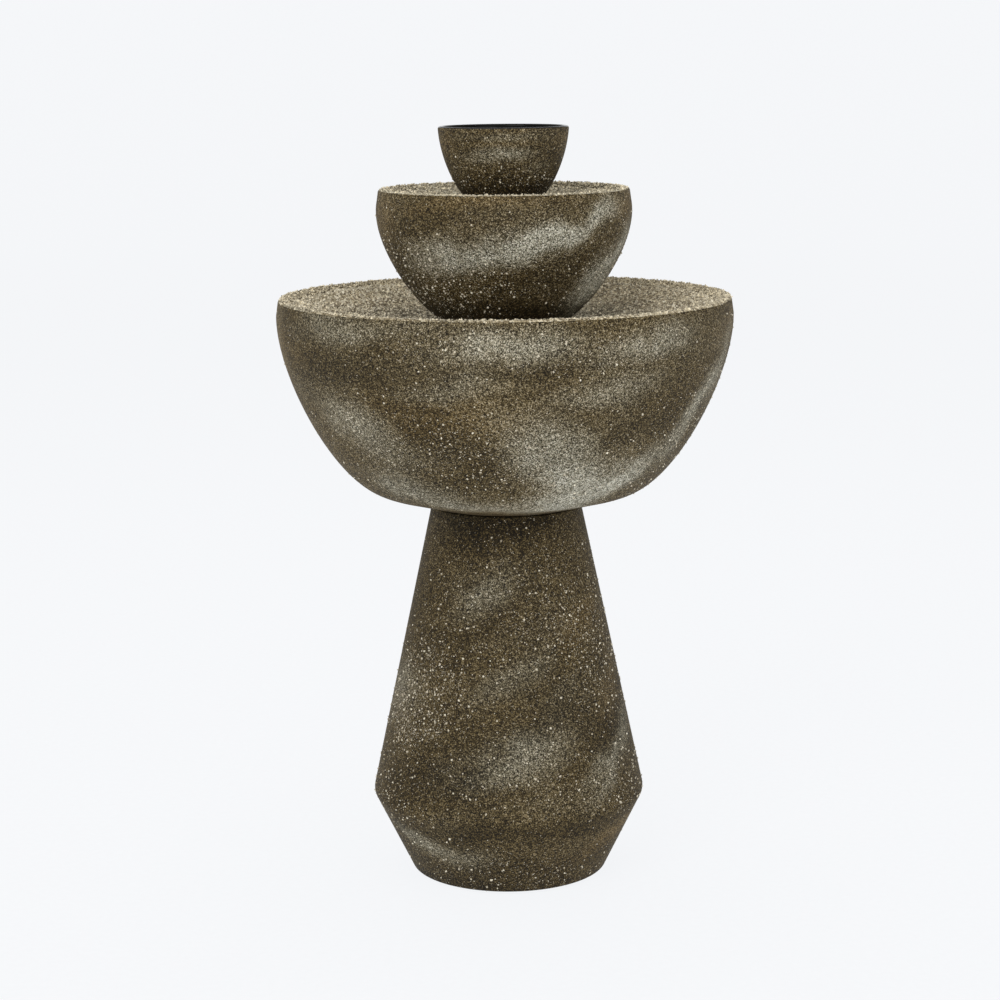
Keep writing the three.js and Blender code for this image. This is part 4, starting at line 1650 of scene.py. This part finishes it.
class WaterPath:
    """The fittings that the water runs through, and the stand that carries them."""

    ARCH = (18.0, 220.0)  # an arch's width, and the height at which its round top starts

    def build(self) -> None:
        """Builds each fitting."""
        tube = ((6.4, 249.5), (6.4, 275), (4.7, 275), (4.7, 249.5))
        TurnedPart("riser_hose", "pedestal", "hose", tube).build()
        self._stand()
        self._socket()
        self._standpipe()
        self._nozzle()

    def _stand(self) -> None:
        """Builds the stand, with four arches at its foot."""
        low, high = cad_box("pump_stand")
        outline = (
            (high.x, low.z),
            (high.x, high.z - 3.0),
            (high.x - 3.0, high.z),
            (8.4, high.z),
            (8.4, high.z - 4),
            (high.x - 3.5, high.z - 4),
            (high.x - 3.5, low.z),
        )
        piece = TurnedPart("pump_stand", "stand", "grey_plastic", outline, 0.8, 128).build()
        width, crown = self.ARCH
        tools = []
        for degrees in (45, 135):
            turn = Matrix.Rotation(math.radians(degrees), 4, "Z")
            box = bmesh.new()
            bmesh.ops.create_cube(box, size=1.0, matrix=Matrix.Diagonal((0.141, width * MM, 0.030, 1.0)))
            tools.append(moved(box, turn @ Matrix.Translation((0, 0, (crown - 15) * MM))))
            lying = turn @ Matrix.Translation((0, 0, crown * MM)) @ Matrix.Rotation(math.pi / 2, 4, "Y")
            tools.append(moved(rod(width / 2, -70, 70), lying))
        carve(piece, *tools)

    def _socket(self) -> None:
        """Builds the socket in the stand's top."""
        top = cad_box("riser_socket")[1].z
        outside = ((4.3, 264), (4.3, 275.4), (8, 275.4), (8, top - 1.8), (12.5, top - 1.8), (12.5, top))
        outline = (*outside, (5.4, top), (5.4, 277.6), (3, 277.6), (3, 264))
        TurnedPart("riser_socket", "stand", "black_plastic", outline).build()

    def _standpipe(self) -> None:
        """Builds the middle bowl's pipe, with its flange and its seal's groove."""
        low, high = cad_box("standpipe")
        spigot = ((3.9, low.z), (4.5, low.z + 1), (4.5, 282.1), (3.7, 282.1), (3.7, 283.9), (4.5, 283.9))
        flange = ((4.5, 306.6), (11, 306.6), (11, 309), (4, 310.6))
        outline = (*spigot, *flange, (4, high.z), (2.8, high.z), (2.8, low.z))
        TurnedPart("standpipe", "middle", "brass", outline, 0.2).build()

    def _nozzle(self) -> None:
        """Builds the top bowl's nozzle."""
        low, high = cad_box("nozzle")
        outside = ((6, low.z), (6, 371.6), (10, 371.6), (10, 373.6), (6, 374.6), (4, high.z))
        outline = (*outside, (2.4, high.z), (2.4, 377), (4.4, 376), (4.4, low.z))
        TurnedPart("nozzle", "top", "brass", outline, 0.3).build()


class PowerSocket:
    """The low-voltage socket in the pedestal's back."""

    def build(self) -> None:
        """Builds the socket with its flange and its pin."""
        low, high = cad_box("power_socket")
        face, centre = high.y, (low.z + high.z) / 2
        outside = ((0, low.y), (5.4, low.y), (5.4, face - 1.8), (8, face - 1.8), (8, face))
        mouth = ((2.9, face), (2.9, face - 10), (1, face - 10), (1, face - 1), (0, face - 1))
        place = Matrix.Translation((0, 0, centre * MM)) @ Matrix.Rotation(-math.pi / 2, 4, "X")
        outline = (*outside, *mouth)
        TurnedPart("power_socket", "pedestal", "black_plastic", outline, 0.3, 56, place).build()


class FrameParts:
    """The CAD nodes that show as they are, and get their finishes here."""

    def dress(self) -> None:
        """Gives each CAD node that shows the finish of its slot."""
        slots = {part["node"]: part["material_slot"] for part in frame["record"]["subparts"]}
        made = {slot: finish.make() for slot, finish in FITTINGS.items()}
        for node, piece in frame["nodes"].items():
            finish = made.get(slots[node])
            if finish is None:
                continue
            piece.data.materials.clear()
            piece.data.materials.append(finish)
            LOG.info("%s: dressed as %s", node, finish.name)


# ------------------------------------------------------------------ the studio
@dataclass
class Studio:
    """A pale sweep, soft lights and the camera.

    Attributes:
        distance: the camera's distance from the fountain's axis.
        eye: the camera's height.
        pitch: how far it looks down, in degrees.
        lean: how far it is turned about its own axis, in degrees.
        aside: how far it stands to the left.
        lens: its focal length.
    """

    distance: float = 1292.0
    eye: float = 441.8
    pitch: float = 10.5
    lean: float = -0.5
    aside: float = 3.4
    lens: float = 88.6

    FLOOR = 4200  # the flat floor's radius
    BOW = 800  # the radius of its bend into the wall
    WALL = 1900  # the wall's height

    def camera(self) -> None:
        """Places the camera."""
        data = bpy.data.cameras.new("camera")
        data.lens = self.lens
        data.sensor_width = 36.0
        data.clip_end = 100.0
        camera = bpy.data.objects.new("camera", data)
        bpy.context.scene.collection.objects.link(camera)
        place = Matrix.Translation((-self.aside * MM, -self.distance * MM, self.eye * MM))
        look = Matrix.Rotation(math.radians(90 - self.pitch), 4, "X")
        camera.matrix_world = place @ look @ Matrix.Rotation(math.radians(self.lean), 4, "Z")
        bpy.context.scene.camera = camera

    def sweep(self) -> None:
        """Makes the round floor, which curves up into a low wall far away."""
        bend = [math.radians(degrees) for degrees in range(0, 91, 6)]
        flat, bow = self.FLOOR, self.BOW
        line = [(flat + bow * math.sin(a), bow - bow * math.cos(a)) for a in bend]
        bm = Turning([(0.0, 0.0), *line, (flat + bow, self.WALL)], {}, 96).mesh()
        floor = finished("studio_sweep", bm, 60)
        sheet = NodeSheet("pale_paper")
        tooth = sheet.noise(sheet.place(), 240, 2, 0.5).outputs["Fac"]
        colour = sheet.ramp(tooth, ((0.3, (0.06, 0.06, 0.06)), (0.7, (0.07, 0.07, 0.07))))
        paper = sheet.surface(
            Base_Color=colour,
            Roughness=1.0,
            Specular_IOR_Level=0.0,
            Emission_Color=(0.868, 0.880, 0.900),
            Emission_Strength=1.0,
        )
        floor.data.materials.append(paper)

    def lamp(
        self, name: str, place: Sequence[float], size: float, power: float, aim: Sequence[float]
    ) -> None:
        """Adds a soft square lamp.

        Args:
            name: its name.
            place: where it hangs, in metres.
            size: its side, in metres.
            power: its power, in watts.
            aim: the point that it faces, in metres.
        """
        data = bpy.data.lights.new(name, "AREA")
        data.size = size
        data.energy = power
        data.color = (1.0, 0.985, 0.96)
        lamp = bpy.data.objects.new(name, data)
        bpy.context.scene.collection.objects.link(lamp)
        lamp.location = place
        lamp.rotation_euler = (Vector(place) - Vector(aim)).to_track_quat("Z", "Y").to_euler()

    def lights(self) -> None:
        """Hangs the lamps and sets the room's own light."""
        world = bpy.data.worlds.new("room")
        world.use_nodes = True
        background = world.node_tree.nodes["Background"]
        background.inputs["Color"].default_value = (1.0, 0.985, 0.96, 1.0)
        background.inputs["Strength"].default_value = 0.42
        bpy.context.scene.world = world
        self.lamp("key", (-0.9, -1.9, 1.5), 1.4, 26.0, (0, 0, 0.25))
        self.lamp("fill", (1.3, -1.8, 0.9), 1.6, 12.0, (0, 0, 0.22))
        self.lamp("top", (0.0, 0.4, 1.7), 1.5, 10.0, (0, 0, 0.2))

    def build(self) -> None:
        """Sets up the whole studio."""
        self.camera()
        self.sweep()
        self.lights()
        bpy.context.scene.view_settings.view_transform = "Standard"


def main() -> None:
    """Builds every sub-assembly in order."""
    logging.basicConfig(level=logging.INFO, format="%(message)s")
    Studio().build()
    Pedestal().build()
    LowerBowl().build()
    GritTray(
        node="lower_tray",
        body="tray",
        bowl="lower_bowl",
        pad=34,
        hole=14,
        thickness=4.3,
        fine=11500,
        coarse=5600,
        lip=7.6,
        seed=51,
        level=0.40,
        pebbles=700,
    ).build()
    MiddleBowl().build()
    GritTray(
        node="middle_tray",
        body="middle",
        bowl="middle_bowl",
        pad=20,
        hole=6,
        thickness=3.0,
        fine=3600,
        coarse=2400,
        lip=5.6,
        seed=61,
        lip_body="middle",
        level=0.60,
    ).build()
    TopBowl().build()
    WaterPath().build()
    PowerSocket().build()
    FrameParts().dress()


if __name__ == "__main__":
    main()
